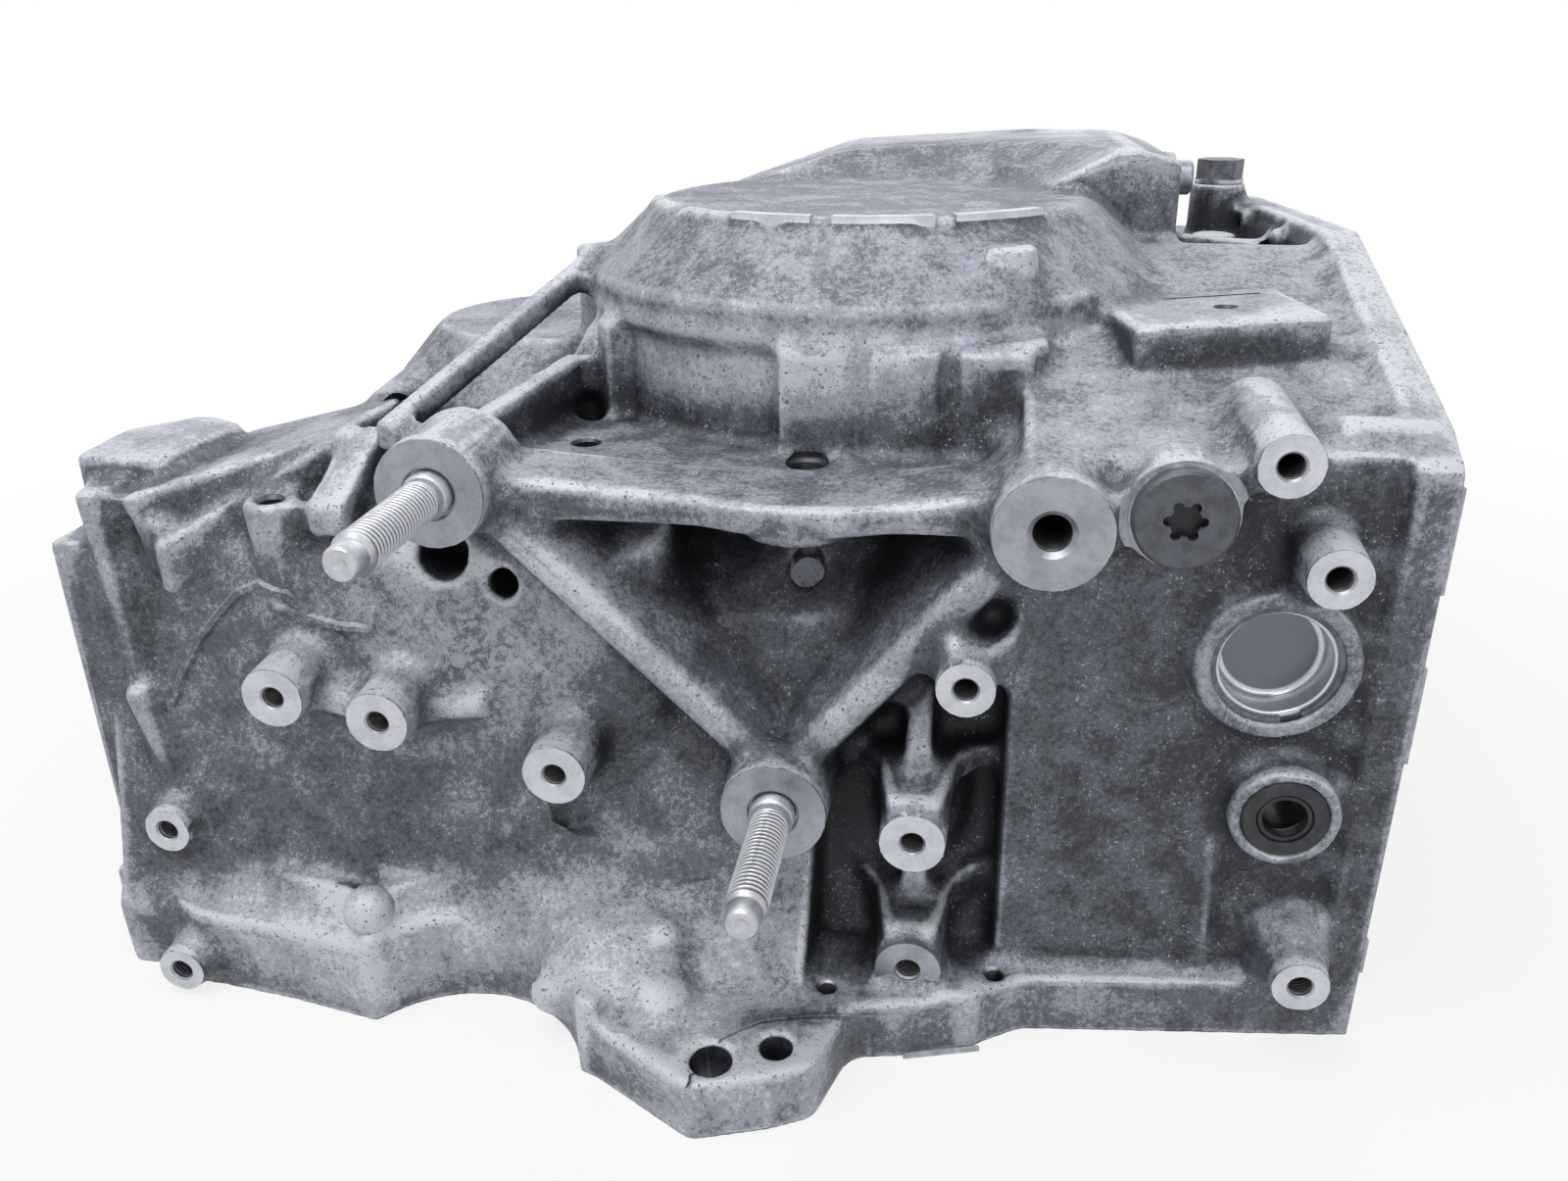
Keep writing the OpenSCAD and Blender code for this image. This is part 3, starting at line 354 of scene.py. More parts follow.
class Shader:
    """Nodes of one material, built from the surface's own coordinates in metres."""

    def __init__(self, name):
        self.material = bpy.data.materials.new(name)
        self.material.use_nodes = True
        self.tree = self.material.node_tree
        self.tree.nodes.clear()
        self.coordinates = self.add("ShaderNodeTexCoord").outputs["Object"]

    def add(self, kind, **settings):
        node = self.tree.nodes.new(kind)
        for key, value in settings.items():
            setattr(node, key, value)
        return node

    def feed(self, socket, value):
        if isinstance(value, bpy.types.NodeSocket):
            self.tree.links.new(value, socket)
        elif value is not None:
            socket.default_value = value

    def noise(self, scale, detail=3, rough=0.55, where=None, distortion=0.0):
        node = self.add("ShaderNodeTexNoise")
        self.feed(node.inputs["Vector"], where or self.coordinates)
        self.feed(node.inputs["Scale"], scale)
        self.feed(node.inputs["Detail"], detail)
        self.feed(node.inputs["Roughness"], rough)
        self.feed(node.inputs["Distortion"], distortion)
        return node.outputs["Fac"]

    def attribute(self, name, output="Fac"):
        return self.add("ShaderNodeAttribute", attribute_name=name).outputs[output]

    def parts(self, vector):
        """The X, Y and Z of a vector, by name."""
        node = self.add("ShaderNodeSeparateXYZ")
        self.feed(node.inputs["Vector"], vector)
        return node.outputs

    def math(self, operation, a, b=None):
        node = self.add("ShaderNodeMath", operation=operation)
        self.feed(node.inputs[0], a)
        self.feed(node.inputs[1], b)
        return node.outputs[0]

    def total(self, first, *others):
        for other in others:
            first = self.math("ADD", first, other)
        return first

    def product(self, first, *others):
        for other in others:
            first = self.math("MULTIPLY", first, other)
        return first

    def length(self, x, y):
        """The length of a flat vector."""
        squares = self.math("ADD", self.math("POWER", x, 2), self.math("POWER", y, 2))
        return self.math("SQRT", squares)

    def radius(self, place, centre):
        """Distance from an axis along Y through an (x, z) centre in millimetres."""
        x = self.math("SUBTRACT", place["X"], centre[0] * MM)
        z = self.math("SUBTRACT", place["Z"], centre[1] * MM)
        return self.length(x, z)

    def vector(self, x, y, z):
        node = self.add("ShaderNodeCombineXYZ")
        for socket, value in zip(node.inputs, (x, y, z)):
            self.feed(socket, value)
        return node.outputs["Vector"]

    def oval(self, place, centre, size):
        """One at the centre of an oval on the front, zero at its edge and negative past it."""
        x = self.math("DIVIDE", self.math("SUBTRACT", place["X"], centre[0]), size[0])
        z = self.math("DIVIDE", self.math("SUBTRACT", place["Z"], centre[1]), size[1])
        far = self.math("ADD", self.math("POWER", x, 2), self.math("POWER", z, 2))
        return self.math("MAXIMUM", self.math("SUBTRACT", 1, far), -1)

    def step(self, value, low, high, to_low=0.0, to_high=1.0):
        """A smooth step of value between low and high."""
        node = self.add("ShaderNodeMapRange", interpolation_type="SMOOTHSTEP")
        self.feed(node.inputs["Value"], value)
        self.feed(node.inputs["From Min"], low)
        self.feed(node.inputs["From Max"], high)
        self.feed(node.inputs["To Min"], to_low)
        self.feed(node.inputs["To Max"], to_high)
        return node.outputs["Result"]

    def mix(self, amount, a, b):
        node = self.add("ShaderNodeMix", data_type="RGBA")
        self.feed(node.inputs["Factor"], amount)
        self.feed(node.inputs["A"], a)
        self.feed(node.inputs["B"], b)
        return node.outputs["Result"]

    def bump(self, height, distance, strength):
        node = self.add("ShaderNodeBump")
        self.feed(node.inputs["Height"], height)
        self.feed(node.inputs["Distance"], distance)
        self.feed(node.inputs["Strength"], strength)
        return node.outputs["Normal"]

    def surface(self, **inputs):
        node = self.add("ShaderNodeBsdfPrincipled")
        for key, value in inputs.items():
            self.feed(node.inputs[key.replace("_", " ").title()], value)
        self.output(node.outputs["BSDF"])
        return self.material

    def output(self, result):
        end = self.add("ShaderNodeOutputMaterial")
        self.tree.links.new(result, end.inputs["Surface"])


# Places on the casting that its tone and its painted light depend on, in metres: (low, high) of a smooth
# change
DRUM_EDGE = (0.100, 0.108)
DRUM_FOOT = (0.166, 0.176)
DRUM_SHOULDER = (0.206, 0.213)
DRUM_TOP = (0.232, 0.237)
ROOF_RIGHT = (0.05, 0.08)

# Ovals on the front: (x, z) of the centre and half sizes. The two pale ones paint light on the left of
# the front; the flaked one is the skin's own.
PALE_UPPER_LEFT = ((-0.12, 0.125), (0.08, 0.05))
PALE_LOWER_LEFT = ((-0.12, 0.024), (0.12, 0.022))
FLAKED_OVAL = ((-0.1077, 0.1164), (0.028, 0.016))

CAST_DARKEST = (50, 52, 58)
CAST_DARK = (104, 107, 117)
CAST_PALE = (168, 171, 183)
CAST_PALEST = (214, 216, 224)
CAST_SPECK = (200, 202, 210)
CAST_PIT = (78, 80, 88)
CAST_DRIP = (112, 115, 125)
CAST_FLAKE = (188, 190, 198)
# Painted shadow, for the most sheltered places
CAST_PAINTED_SHADOW = (22, 23, 27)


def drum_masks(s, place, normal):
    """One on the drum, on its upright wall and on its cone, and zero elsewhere."""
    radius = s.length(place["X"], place["Y"])
    drum = s.product(s.step(radius, *DRUM_EDGE, 1, 0), s.step(place["Z"], *DRUM_FOOT))
    wall = s.product(drum, s.step(place["Z"], *DRUM_SHOULDER, 1, 0))
    cone = s.product(drum, s.step(normal["Z"], 0.15, 0.4))
    return drum, wall, cone


def cast_share(s, place, normal, patch, masks):
    """How pale the casting is. Much of it is painted light and shade: slopes that face up, the roof, the
    drum and two ovals on the left paler, the right side darker, edges paler, hollows and sheltered
    places darker. Cloudy patches and noise vary it at random.
    """
    drum, wall, cone = masks
    cavity = s.attribute("cavity")
    # Painted light: the roof's up-facing surfaces on the right paler.
    roof = s.product(s.step(place["X"], *ROOF_RIGHT, 0, 0.2), s.step(normal["Z"], 0.3, 0.6))
    painted_light_upper_left = s.math("MAXIMUM", s.oval(place, *PALE_UPPER_LEFT), 0)
    painted_light_lower_left = s.math("MAXIMUM", s.oval(place, *PALE_LOWER_LEFT), 0)
    return s.total(
        0.27,
        # Painted light: up-facing slopes paler, as if lit from above.
        s.step(normal["Z"], 0.1, 0.8, 0, 0.24),
        # Partly painted highlight: the drum's upper band and its wall paler, so they stay bright where
        # front walls fall into shade. The cone is darker, more so at its top.
        s.product(drum, s.step(place["Z"], 0.172, 0.19, 0.1, 0.2)),
        s.product(wall, s.step(place["Z"], 0.176, 0.19, 0, 0.46)),
        s.product(cone, s.step(place["Z"], *DRUM_TOP, -0.18, -0.28)),
        roof,
        # Painted light: two ovals on the left of the front paler.
        s.product(painted_light_upper_left, 0.3),
        s.product(painted_light_lower_left, 0.42),
        # Painted shade: the right of the casting darker.
        s.step(place["X"], 0.03, 0.1, 0, -0.13),
        # Painted highlight on edges that stand out, and painted shade in hollows.
        s.step(cavity, -0.08, -0.5, 0, 0.4),
        s.step(cavity, 0.08, 0.5, 0, -0.2),
        # Painted shade: sheltered places darker.
        s.step(s.attribute("shelter"), 0.3, 0.85, 0, -0.42),
        s.step(patch, 0.36, 0.64, -0.1, 0.12),
        s.step(s.noise(16, 4, 0.6), 0.35, 0.65, -0.08, 0.08),
    )


def cast_stains(s, colour, place, normal, cone):
    """Adds drips down the drum's cone, and flaked skin on the upper left of the front wall."""
    angle = s.math("ARCTAN2", place["X"], place["Y"])
    down = s.vector(s.product(angle, 9), 0, s.product(place["Z"], 30))
    drips = s.step(s.noise(1, 3, 0.6, where=down), 0.56, 0.72)
    drips = s.product(drips, s.step(place["Z"], 0.19, 0.205))
    colour = s.mix(s.product(drips, cone, 0.55), colour, linear(CAST_DRIP))
    flaking = s.product(s.oval(place, *FLAKED_OVAL), 0.12)
    flakes = s.step(s.math("ADD", flaking, s.noise(260, 6, 0.75, distortion=0.6)), 0.6, 0.63)
    flakes = s.product(flakes, s.step(normal["Y"], -0.3, -0.6))
    return s.mix(s.product(flakes, 0.7), colour, linear(CAST_FLAKE))


def cast_aluminium():
    """Weathered casting with painted light and shade: dark grey in sheltered places and on the walls,
    pale on edges and tops.
    """
    s = Shader("cast_aluminium")
    place = s.parts(s.coordinates)
    normal = s.parts(s.add("ShaderNodeNewGeometry").outputs["Normal"])
    patch = s.noise(70, 4, 0.6, distortion=0.3)
    blotch = s.noise(520, 5, 0.7)
    grain = s.noise(1700, 3, 0.65)
    masks = drum_masks(s, place, normal)
    share = cast_share(s, place, normal, patch, masks)
    rough = s.product(s.math("SUBTRACT", blotch, 0.5), 1.0)
    tone = s.total(share, rough, s.product(s.math("SUBTRACT", grain, 0.5), 0.7))
    colour = s.mix(s.step(tone, -0.05, 0.38), linear(CAST_DARKEST), linear(CAST_DARK))
    colour = s.mix(s.step(tone, 0.34, 0.66), colour, linear(CAST_PALE))
    colour = s.mix(s.step(tone, 0.66, 1.0), colour, linear(CAST_PALEST))
    specks = s.product(s.step(s.noise(1100, 2, 0.5), 0.64, 0.7), s.step(patch, 0.38, 0.56))
    colour = s.mix(s.product(specks, 0.75), colour, linear(CAST_SPECK))
    pits = s.product(s.step(s.noise(900, 2, 0.5), 0.63, 0.68), s.step(tone, 0.5, 0.7))
    colour = s.mix(s.product(pits, 0.8), colour, linear(CAST_PIT))
    colour = cast_stains(s, colour, place, normal, masks[2])
    # Painted shadow: the most sheltered places, such as the slot under the shelf, turn near black.
    hollow = s.step(s.attribute("shelter"), 0.58, 0.88, 0, 0.85)
    colour = s.mix(hollow, colour, linear(CAST_PAINTED_SHADOW))
    height = s.math("ADD", s.product(blotch, 0.7), s.product(grain, 0.3))
    return s.surface(
        base_color=colour,
        metallic=0.25,
        roughness=s.step(patch, 0.3, 0.7, 0.48, 0.6),
        normal=s.bump(height, 0.0006, 0.7),
    )


DEEP_SHADE = (34, 35, 39)
DUST = (110, 112, 118)


def machined_aluminium(name, dark, bright):
    """Turned or bored surface: faint rings round each face's centre, and painted shade, near black,
    where it lies deep.
    """
    s = Shader(name)
    shelter = s.attribute("shelter")
    length = s.add("ShaderNodeVectorMath", operation="LENGTH")
    s.feed(length.inputs[0], s.attribute("spin", "Vector"))
    rings = s.add("ShaderNodeTexNoise", noise_dimensions="1D")
    s.feed(rings.inputs["W"], length.outputs["Value"])
    s.feed(rings.inputs["Scale"], 2600)
    s.feed(rings.inputs["Detail"], 3)
    turned = rings.outputs["Fac"]
    stain = s.noise(130, 5, 0.65)
    dirt = s.noise(800, 4, 0.65)
    colour = s.mix(s.step(stain, 0.35, 0.65), linear(dark), linear(bright))
    colour = s.mix(s.step(turned, 0.45, 0.65, 0, 0.15), colour, linear([c * 0.7 for c in dark]))
    colour = s.mix(s.step(dirt, 0.6, 0.7, 0, 0.5), colour, linear([c * 0.5 for c in dark]))
    # Painted shade, with a little dirt: deep, sheltered places turn near black and less metallic.
    shade_and_dirt = s.step(s.math("ADD", shelter, s.product(dirt, 0.1)), 0.42, 0.75)
    colour = s.mix(shade_and_dirt, colour, linear(DEEP_SHADE))
    return s.surface(
        base_color=colour,
        metallic=s.step(shade_and_dirt, 0, 1, 0.7, 0.1),
        roughness=s.step(stain, 0.3, 0.7, 0.32, 0.46),
        normal=s.bump(turned, 0.00006, 0.4),
    )


def plain_metal(name, dark, bright, metallic, rough):
    """Worn metal between two screen colours."""
    s = Shader(name)
    cloud = s.noise(260, 4, 0.6)
    fine = s.noise(1820, 3, 0.6)
    colour = s.mix(s.step(cloud, 0.35, 0.65), linear(dark), linear(bright))
    scratched = s.product(s.step(fine, 0.6, 0.72), 0.4)
    colour = s.mix(scratched, colour, linear([c * 0.6 for c in dark]))
    return s.surface(
        base_color=colour,
        metallic=metallic,
        roughness=s.step(cloud, 0.3, 0.7, rough, rough + 0.15),
        normal=s.bump(fine, 0.0001, 0.6),
    )


def rubber(name, dark, bright):
    """Soft or painted skin between two screen colours, with dust on it."""
    s = Shader(name)
    cloud = s.noise(300, 4, 0.6)
    dust = s.noise(1500, 3, 0.6)
    colour = s.mix(s.step(cloud, 0.4, 0.7), linear(dark), linear(bright))
    colour = s.mix(s.product(s.step(dust, 0.6, 0.75), 0.3), colour, linear(DUST))
    return s.surface(
        base_color=colour,
        roughness=s.step(cloud, 0.3, 0.7, 0.45, 0.65),
        normal=s.bump(dust, 0.0001, 0.5),
    )


# The plug's six-lobed socket, in metres: (low, high) of its edge and of its mouth
SOCKET_EDGE = (0.0072, 0.0076)
SOCKET_MOUTH = (-0.1595, -0.1588)


def plug_metal():
    """Dark phosphated steel, near black inside the six-lobed socket as painted shade."""
    s = Shader("plug_metal")
    place = s.parts(s.coordinates)
    within = s.step(s.radius(place, PLUG_AT), *SOCKET_EDGE, 1, 0)
    inside = s.product(within, s.step(place["Y"], *SOCKET_MOUTH))
    cloud = s.noise(260, 4, 0.6)
    fine = s.noise(1800, 3, 0.6)
    colour = s.mix(s.step(cloud, 0.35, 0.65), linear((80, 82, 89)), linear((100, 102, 110)))
    colour = s.mix(s.step(fine, 0.6, 0.72, 0, 0.4), colour, linear((50, 51, 56)))
    # Painted shade: inside the socket the steel turns near black and less metallic.
    colour = s.mix(s.product(inside, 0.9), colour, linear((20, 21, 24)))
    return s.surface(
        base_color=colour,
        metallic=s.step(inside, 0, 1, 0.55, 0.1),
        roughness=s.step(cloud, 0.3, 0.7, 0.4, 0.55),
        normal=s.bump(fine, 0.0001, 0.6),
    )


CUP_DISC_EDGE = (0.0128, 0.0133)


def cup_metal():
    """Fine turned aluminium with painted reflection: the cup's disc is darker and duller, its wall and
    rim are bright as a painted highlight.
    """
    s = Shader("cup_metal")
    radius = s.radius(s.parts(s.coordinates), CUP_AT)
    cloud = s.noise(70, 4, 0.6)
    dust = s.noise(1300, 3, 0.6)
    # Painted reflection: the disc darker, as a dark reflection, and the wall and rim pale, as a bright
    # highlight.
    disc = s.mix(cloud, linear((112, 114, 124)), linear((130, 132, 142)))
    wall = s.mix(cloud, linear((196, 198, 206)), linear((216, 217, 223)))
    colour = s.mix(s.step(radius, *CUP_DISC_EDGE), disc, wall)
    colour = s.mix(s.step(dust, 0.62, 0.7, 0, 0.3), colour, linear((84, 86, 94)))
    return s.surface(
        base_color=colour,
        metallic=s.step(radius, *CUP_DISC_EDGE, 0.35, 0.75),
        roughness=s.step(cloud, 0.3, 0.7, 0.2, 0.3),
        normal=s.bump(dust, 0.00004, 0.4),
    )


LOOKS = {
    "zinc_plated_steel": plain_metal("zinc_plated_steel", (150, 152, 160), (205, 206, 212), 0.8, 0.34),
    "dark_steel": plain_metal("dark_steel", (86, 88, 96), (122, 124, 132), 0.6, 0.38),
    "bright_aluminium": plain_metal("bright_aluminium", (165, 167, 175), (205, 206, 212), 0.8, 0.35),
    "polished_aluminium": cup_metal(),
    "black_rubber": rubber("black_rubber", (30, 31, 34), (52, 53, 58)),
    "rubber_coated_shell": rubber("rubber_coated_shell", (34, 35, 39), (62, 64, 70)),
    "spring_steel": plain_metal("spring_steel", (120, 122, 130), (165, 167, 175), 0.85, 0.32),
    # Painted shade: the bronze is made dark, as the bush sits deep in its bore.
    "bronze": plain_metal("bronze", (58, 54, 48), (78, 71, 60), 0.5, 0.4),
    "bearing_steel": plain_metal("bearing_steel", (150, 152, 160), (195, 197, 204), 0.9, 0.18),
    "pale_sealant": rubber("pale_sealant", (168, 170, 180), (206, 208, 216)),
}
CAST = cast_aluminium()
MACHINED = machined_aluminium("machined_aluminium", (196, 198, 207), (216, 217, 224))
FACED = machined_aluminium("faced_aluminium", (150, 152, 162), (174, 176, 185))
PLUG_METAL = plug_metal()
# Painted shade: a dark copy of the machined look, for the upright holes, the oil drilling and the pad's
# holes and slot.
HOLE_SHADE = machined_aluminium("hole_shade_aluminium", (66, 68, 75), (92, 94, 102))
# Partly painted shade: a dimmer copy of the machined look, for the insides of holes and bores.
BORED = machined_aluminium("bored_aluminium", (150, 152, 162), (190, 192, 200))


def stud_metal():
    """Dull zinc, dark in the thread's grooves: dirt there, and painted shade."""
    s = Shader("stud_metal")
    shade_and_dirt = s.attribute("shade_and_dirt")
    cloud = s.noise(220, 4, 0.6)
    fine = s.noise(1600, 3, 0.6)
    colour = s.mix(s.step(cloud, 0.35, 0.65), linear((186, 188, 196)), linear((208, 209, 215)))
    # Dirt and painted shade: the thread's grooves darker, by their depth.
    dirt = s.step(s.math("ADD", shade_and_dirt, s.product(cloud, 0.4)), 0.45, 0.95)
    colour = s.mix(dirt, colour, linear((72, 73, 78)))
    colour = s.mix(s.step(fine, 0.6, 0.74, 0, 0.4), colour, linear((104, 104, 110)))
    return s.surface(
        base_color=colour,
        metallic=s.step(dirt, 0.0, 1.0, 0.8, 0.2),
        roughness=s.step(cloud, 0.3, 0.7, 0.32, 0.46),
        normal=s.bump(fine, 0.0001, 0.5),
    )


STUD_METAL = stud_metal()


# The casting, rounded like a die casting and then machined

STOCK = 1.5
VOXEL = 1.2
FILLET = 3.0
SMOOTH_STEPS = 4
HOLLOW_STEPS = 14
HOLLOW_BLUR = 6
HOLLOW_GAIN = 1.5
CASE_TRIANGLES = 110000
FACE_TOLERANCE = 0.02


def lay_stock(mesh):
    """Moves the mating face and the side face out by the machining stock."""
    points = coordinates(mesh)
    points[points[:, 2] < FACE_TOLERANCE * MM, 2] -= STOCK * MM
    points[points[:, 0] > (SIDE_X - FACE_TOLERANCE) * MM, 0] += STOCK * MM
    set_coordinates(mesh, points)


def faced_bosses():
    """Every boss face that is milled flat, as (x, z, face y, face radius)."""
    faces = [(x, z, MOUNT_Y, r) for x, z, r in BOSSES]
    faces += [(x, z, MOUNT_Y, MOUNT_BOSS_R) for x, z in (MOUNT_LEFT, MOUNT_MIDDLE, MOUNT_RIGHT)]
    faces += [(x, z, y, r) for x, z, y, r in CORNER_BOSSES]
    faces += [(PLUG_AT[0], PLUG_AT[1], PLUG_BOSS_Y, PLUG_BOSS_R)]
    return faces


def voxelise(piece, smooth_steps=0):
    remesh = piece.modifiers.new("voxels", "REMESH")
    remesh.mode = "VOXEL"
    remesh.voxel_size = VOXEL * MM
    if smooth_steps:
        smooth = piece.modifiers.new("soften", "SMOOTH")
        smooth.factor = 0.5
        smooth.iterations = smooth_steps
    apply_modifiers(piece)


def grow(piece, distance):
    """Moves the surface out along its normals."""
    mesh = piece.data
    set_coordinates(mesh, coordinates(mesh) + vertex_normals(mesh) * distance * MM)


class Neighbours:
    """The edges of a mesh, to average each vertex's values with its neighbours'."""

    def __init__(self, mesh):
        ends = np.zeros(len(mesh.edges) * 2, int)
        mesh.edges.foreach_get("vertices", ends)
        self.a, self.b = ends.reshape(-1, 2).T
        self.count = len(mesh.vertices)
        links = np.bincount(ends, minlength=self.count)
        self.degree = np.maximum(links, 1)

    def mean(self, field):
        """Each vertex's mean of its neighbours' values, column by column."""
        columns = []
        for k in range(field.shape[1]):
            there = np.bincount(self.a, weights=field[:, k][self.b], minlength=self.count)
            back = np.bincount(self.b, weights=field[:, k][self.a], minlength=self.count)
            columns.append((there + back) / self.degree)
        return np.stack(columns, 1)


def hollowness(mesh):
    """How hollow each vertex lies in the smoothed shape around it, in metres: negative on an edge."""
    points = coordinates(mesh)
    around = Neighbours(mesh)
    moved = points.copy()
    for _ in range(HOLLOW_STEPS):
        moved = (moved + around.mean(moved)) / 2
    hollow = ((moved - points) * vertex_normals(mesh)).sum(1)[:, None]
    for _ in range(HOLLOW_BLUR):
        hollow = (hollow + around.mean(hollow)) / 2
    return hollow[:, 0]


def smooth_cast(case):
    """Fills the inner corners with fillets, softens the outer ones and thins out the mesh."""
    voxelise(case)
    grow(case, FILLET)
    voxelise(case, 1)
    grow(case, -FILLET)
    voxelise(case, SMOOTH_STEPS)
    hollow = hollowness(case.data) / MM * HOLLOW_GAIN
    add_attribute(case.data, "cavity", np.clip(hollow, -1, 1))
    fewer = case.modifiers.new("fewer", "DECIMATE")
    fewer.ratio = CASE_TRIANGLES / (2 * len(case.data.polygons))
    fewer.use_collapse_triangulate = True
    apply_modifiers(case)


def drill(at, outward, radius, depth, chamfer=0.6, thread=0.0, pitch=0.0, rings=9):
    """A drill standing in its hole, with a chamfered mouth and the grooves of a thread."""
    profile = [(0, -depth - radius * 0.6), (radius, -depth)]
    if thread:
        turns = min(rings, int((depth - 2 * chamfer) / pitch - 0.5))
        for k in reversed(range(turns)):
            top = -chamfer - (k + 0.3) * pitch
            profile += [(radius, top - 0.8 * pitch), (thread, top - 0.4 * pitch), (radius, top)]
    profile += [(radius, -chamfer), (radius + chamfer, 0), (radius + chamfer, 2), (0, 2)]
    return lathe("drill", profile, along(outward, at), 32)


def tap(at, outward, size, depth, chamfer=0.6, rings=9):
    """A drill with the thread of a tapped size."""
    radius, thread, pitch = size
    return drill(at, outward, radius, depth, chamfer, thread, pitch, rings)


def bore(at, outward, steps, chamfer=0.7):
    """A stepped boring bar: (radius, depth) pairs from the mouth inwards."""
    profile = [(0, -steps[-1][1])]
    for (radius, depth), (_, start) in reversed(list(zip(steps, [(0, chamfer)] + steps))):
        profile += [(radius, -depth), (radius, -start)]
    first = steps[0][0]
    profile += [(first + chamfer, 0), (first + chamfer, 2), (0, 2)]
    return lathe("bore", profile, along(outward, at), 96)


# Holes that the photograph shows and the CAD leaves out or buries, as drill takes them
OIL_DRILLING = ((-158, -66.8, 175.7), (0.1, -0.6, 0.8), 5.2, 8, 0.8)
PAD_HOLES = [
    ((113.4, -71.5, 212.8), UP, 2.4, 14, 1.4),
    ((136, -46, 213.2), UP, 1.4, 8, 0.5),
]

# Slot along the pad: the (x, y) ends of its two sides, its floor and a height above it
PAD_SLOT = ([(97.5, -57.1), (127.1, -52.9)], [(97.5, -55.5), (127.1, -51.3)], 211.6, 216)


def front_bore(place, y, steps, chamfer=0.7):
    """A stepped bore in a face on the front, at an (x, z) place."""
    x, z = place
    return bore((x, y, z), FRONT, steps, chamfer)


def hole_tools():
    """Every hole that is bored, drilled or tapped, apart from those dark with painted shade."""
    tools = [tap((x, MOUNT_Y, z), FRONT, M8, TAP_DEPTH) for x, z, _ in BOSSES + [RAW_BOSS]]
    tools += [tap((x, y, z), FRONT, M8, TAP_DEPTH) for x, z, y, _ in CORNER_BOSSES]
    x, z = MOUNT_RIGHT
    tools += [tap((x, MOUNT_Y, z), FRONT, M12, MOUNT_TAP_DEPTH, 1.5, 12)]
    tools += [front_bore(place, MOUNT_Y, STUD_BORE, 0.3) for place in (MOUNT_LEFT, MOUNT_MIDDLE)]
    tools += [front_bore(CUP_AT, CUP_BOSS_Y, CUP_BORE)]
    tools += [front_bore(SEAL_AT, SEAL_BOSS_Y, SEAL_BORE, 0.5)]
    tools += [front_bore(PLUG_AT, PLUG_BOSS_Y, PLUG_BORE, 0.4)]
    for x, y in FLANGE_MARKS:
        tools += [drill((x, y, EAR_TOP), UP, FLANGE_MARK_R, FLANGE_MARK_DEPTH, 0.9)]
    tools += [tap((SIDE_X, y, z), RIGHT, M8, TAP_DEPTH) for y, z in SIDE_BOLTS]
    tools += [tap((x, y, MATING_Z), DOWN, M10, FLANGE_TAP_DEPTH) for x, y in FLANGE_BOLTS]
    tools += [drill((x, y, MATING_Z), DOWN, DOWEL_R, DOWEL_DEPTH, 0.8) for x, y in DOWELS]
    return tools


def shaded_hole_tools():
    """Upright holes and the oil drilling, dark inside as painted shade, with the pad's holes and slot.
    """
    tools = [drill((x, y, EAR_TOP), UP, r, EAR_HOLE_DEPTH, 0.5) for x, y, r in EAR_HOLES]
    tools += [drill((x, y, z), UP, r, depth, 1.2) for x, y, z, r, depth in TOP_HOLES]
    tools += [drill(*OIL_DRILLING)]
    tools += [drill(*hole) for hole in PAD_HOLES]
    tools += [prism("slot", *PAD_SLOT)]
    return tools


# The crack from the large ear hole to the ear's edge: its two sides, its floor and a height above it
EAR_CRACK = (
    [(-28.2, -202.3), (-30.3, -205.4), (-29.9, -207.6), (-32.6, -214.5)],
    [(-27.6, -202.6), (-29.6, -205.6), (-29.1, -207.8), (-31.5, -214.9)],
    18.6,
    24,
)
CUTTER_HEIGHT = 4
CUTTER_MARGIN = 1.5
LARGE_FACE_R = 14
FAR = 300


def machine(case):
    """Faces the bosses, the mating face and the side face, and drills and taps the holes."""
    small = []
    large = []
    for x, z, y, r in faced_bosses():
        group = small if r < LARGE_FACE_R else large
        group.append(disc(x, z, y - STOCK - CUTTER_HEIGHT, y, r + CUTTER_MARGIN))
    tools = [
        (box_mesh("mating", (-FAR, -FAR, -20), (FAR, FAR, MATING_Z)), MACHINED),
        (box_mesh("side", (SIDE_X, -FAR, -30), (SIDE_X + 20, FAR, FAR)), MACHINED),
        (joined("small faces", small), MACHINED),
        (joined("large faces", large), FACED),
        (joined("holes", hole_tools()), BORED),
        (joined("shaded holes", shaded_hole_tools()), HOLE_SHADE),
        (prism("crack", *EAR_CRACK), CAST),
    ]
    for tool, material in tools:
        tool.materials.append(material)
        combine(case, [tool], "DIFFERENCE")


def surface_point(case, x, z):
    """Where a line through (x, z) along Y first meets the casting, in millimetres, and its normal."""
    _, place, normal, _ = case.ray_cast(Vector((x, -250, z)) * MM, Vector(BACK))
    return Vector(place) / MM, Vector(normal)


CREASE_STEP = 2.0
PARTING_LINE = [
    (-214.5, 90),
    (-209, 102),
    (-200.3, 115.3),
    (-186.3, 130),
    (-175.5, 135),
    (-168, 132.3),
    (-163.1, 124),
    (-153.3, 121.3),
    (-142.6, 120.9),
    (-140.4, 128.5),
]


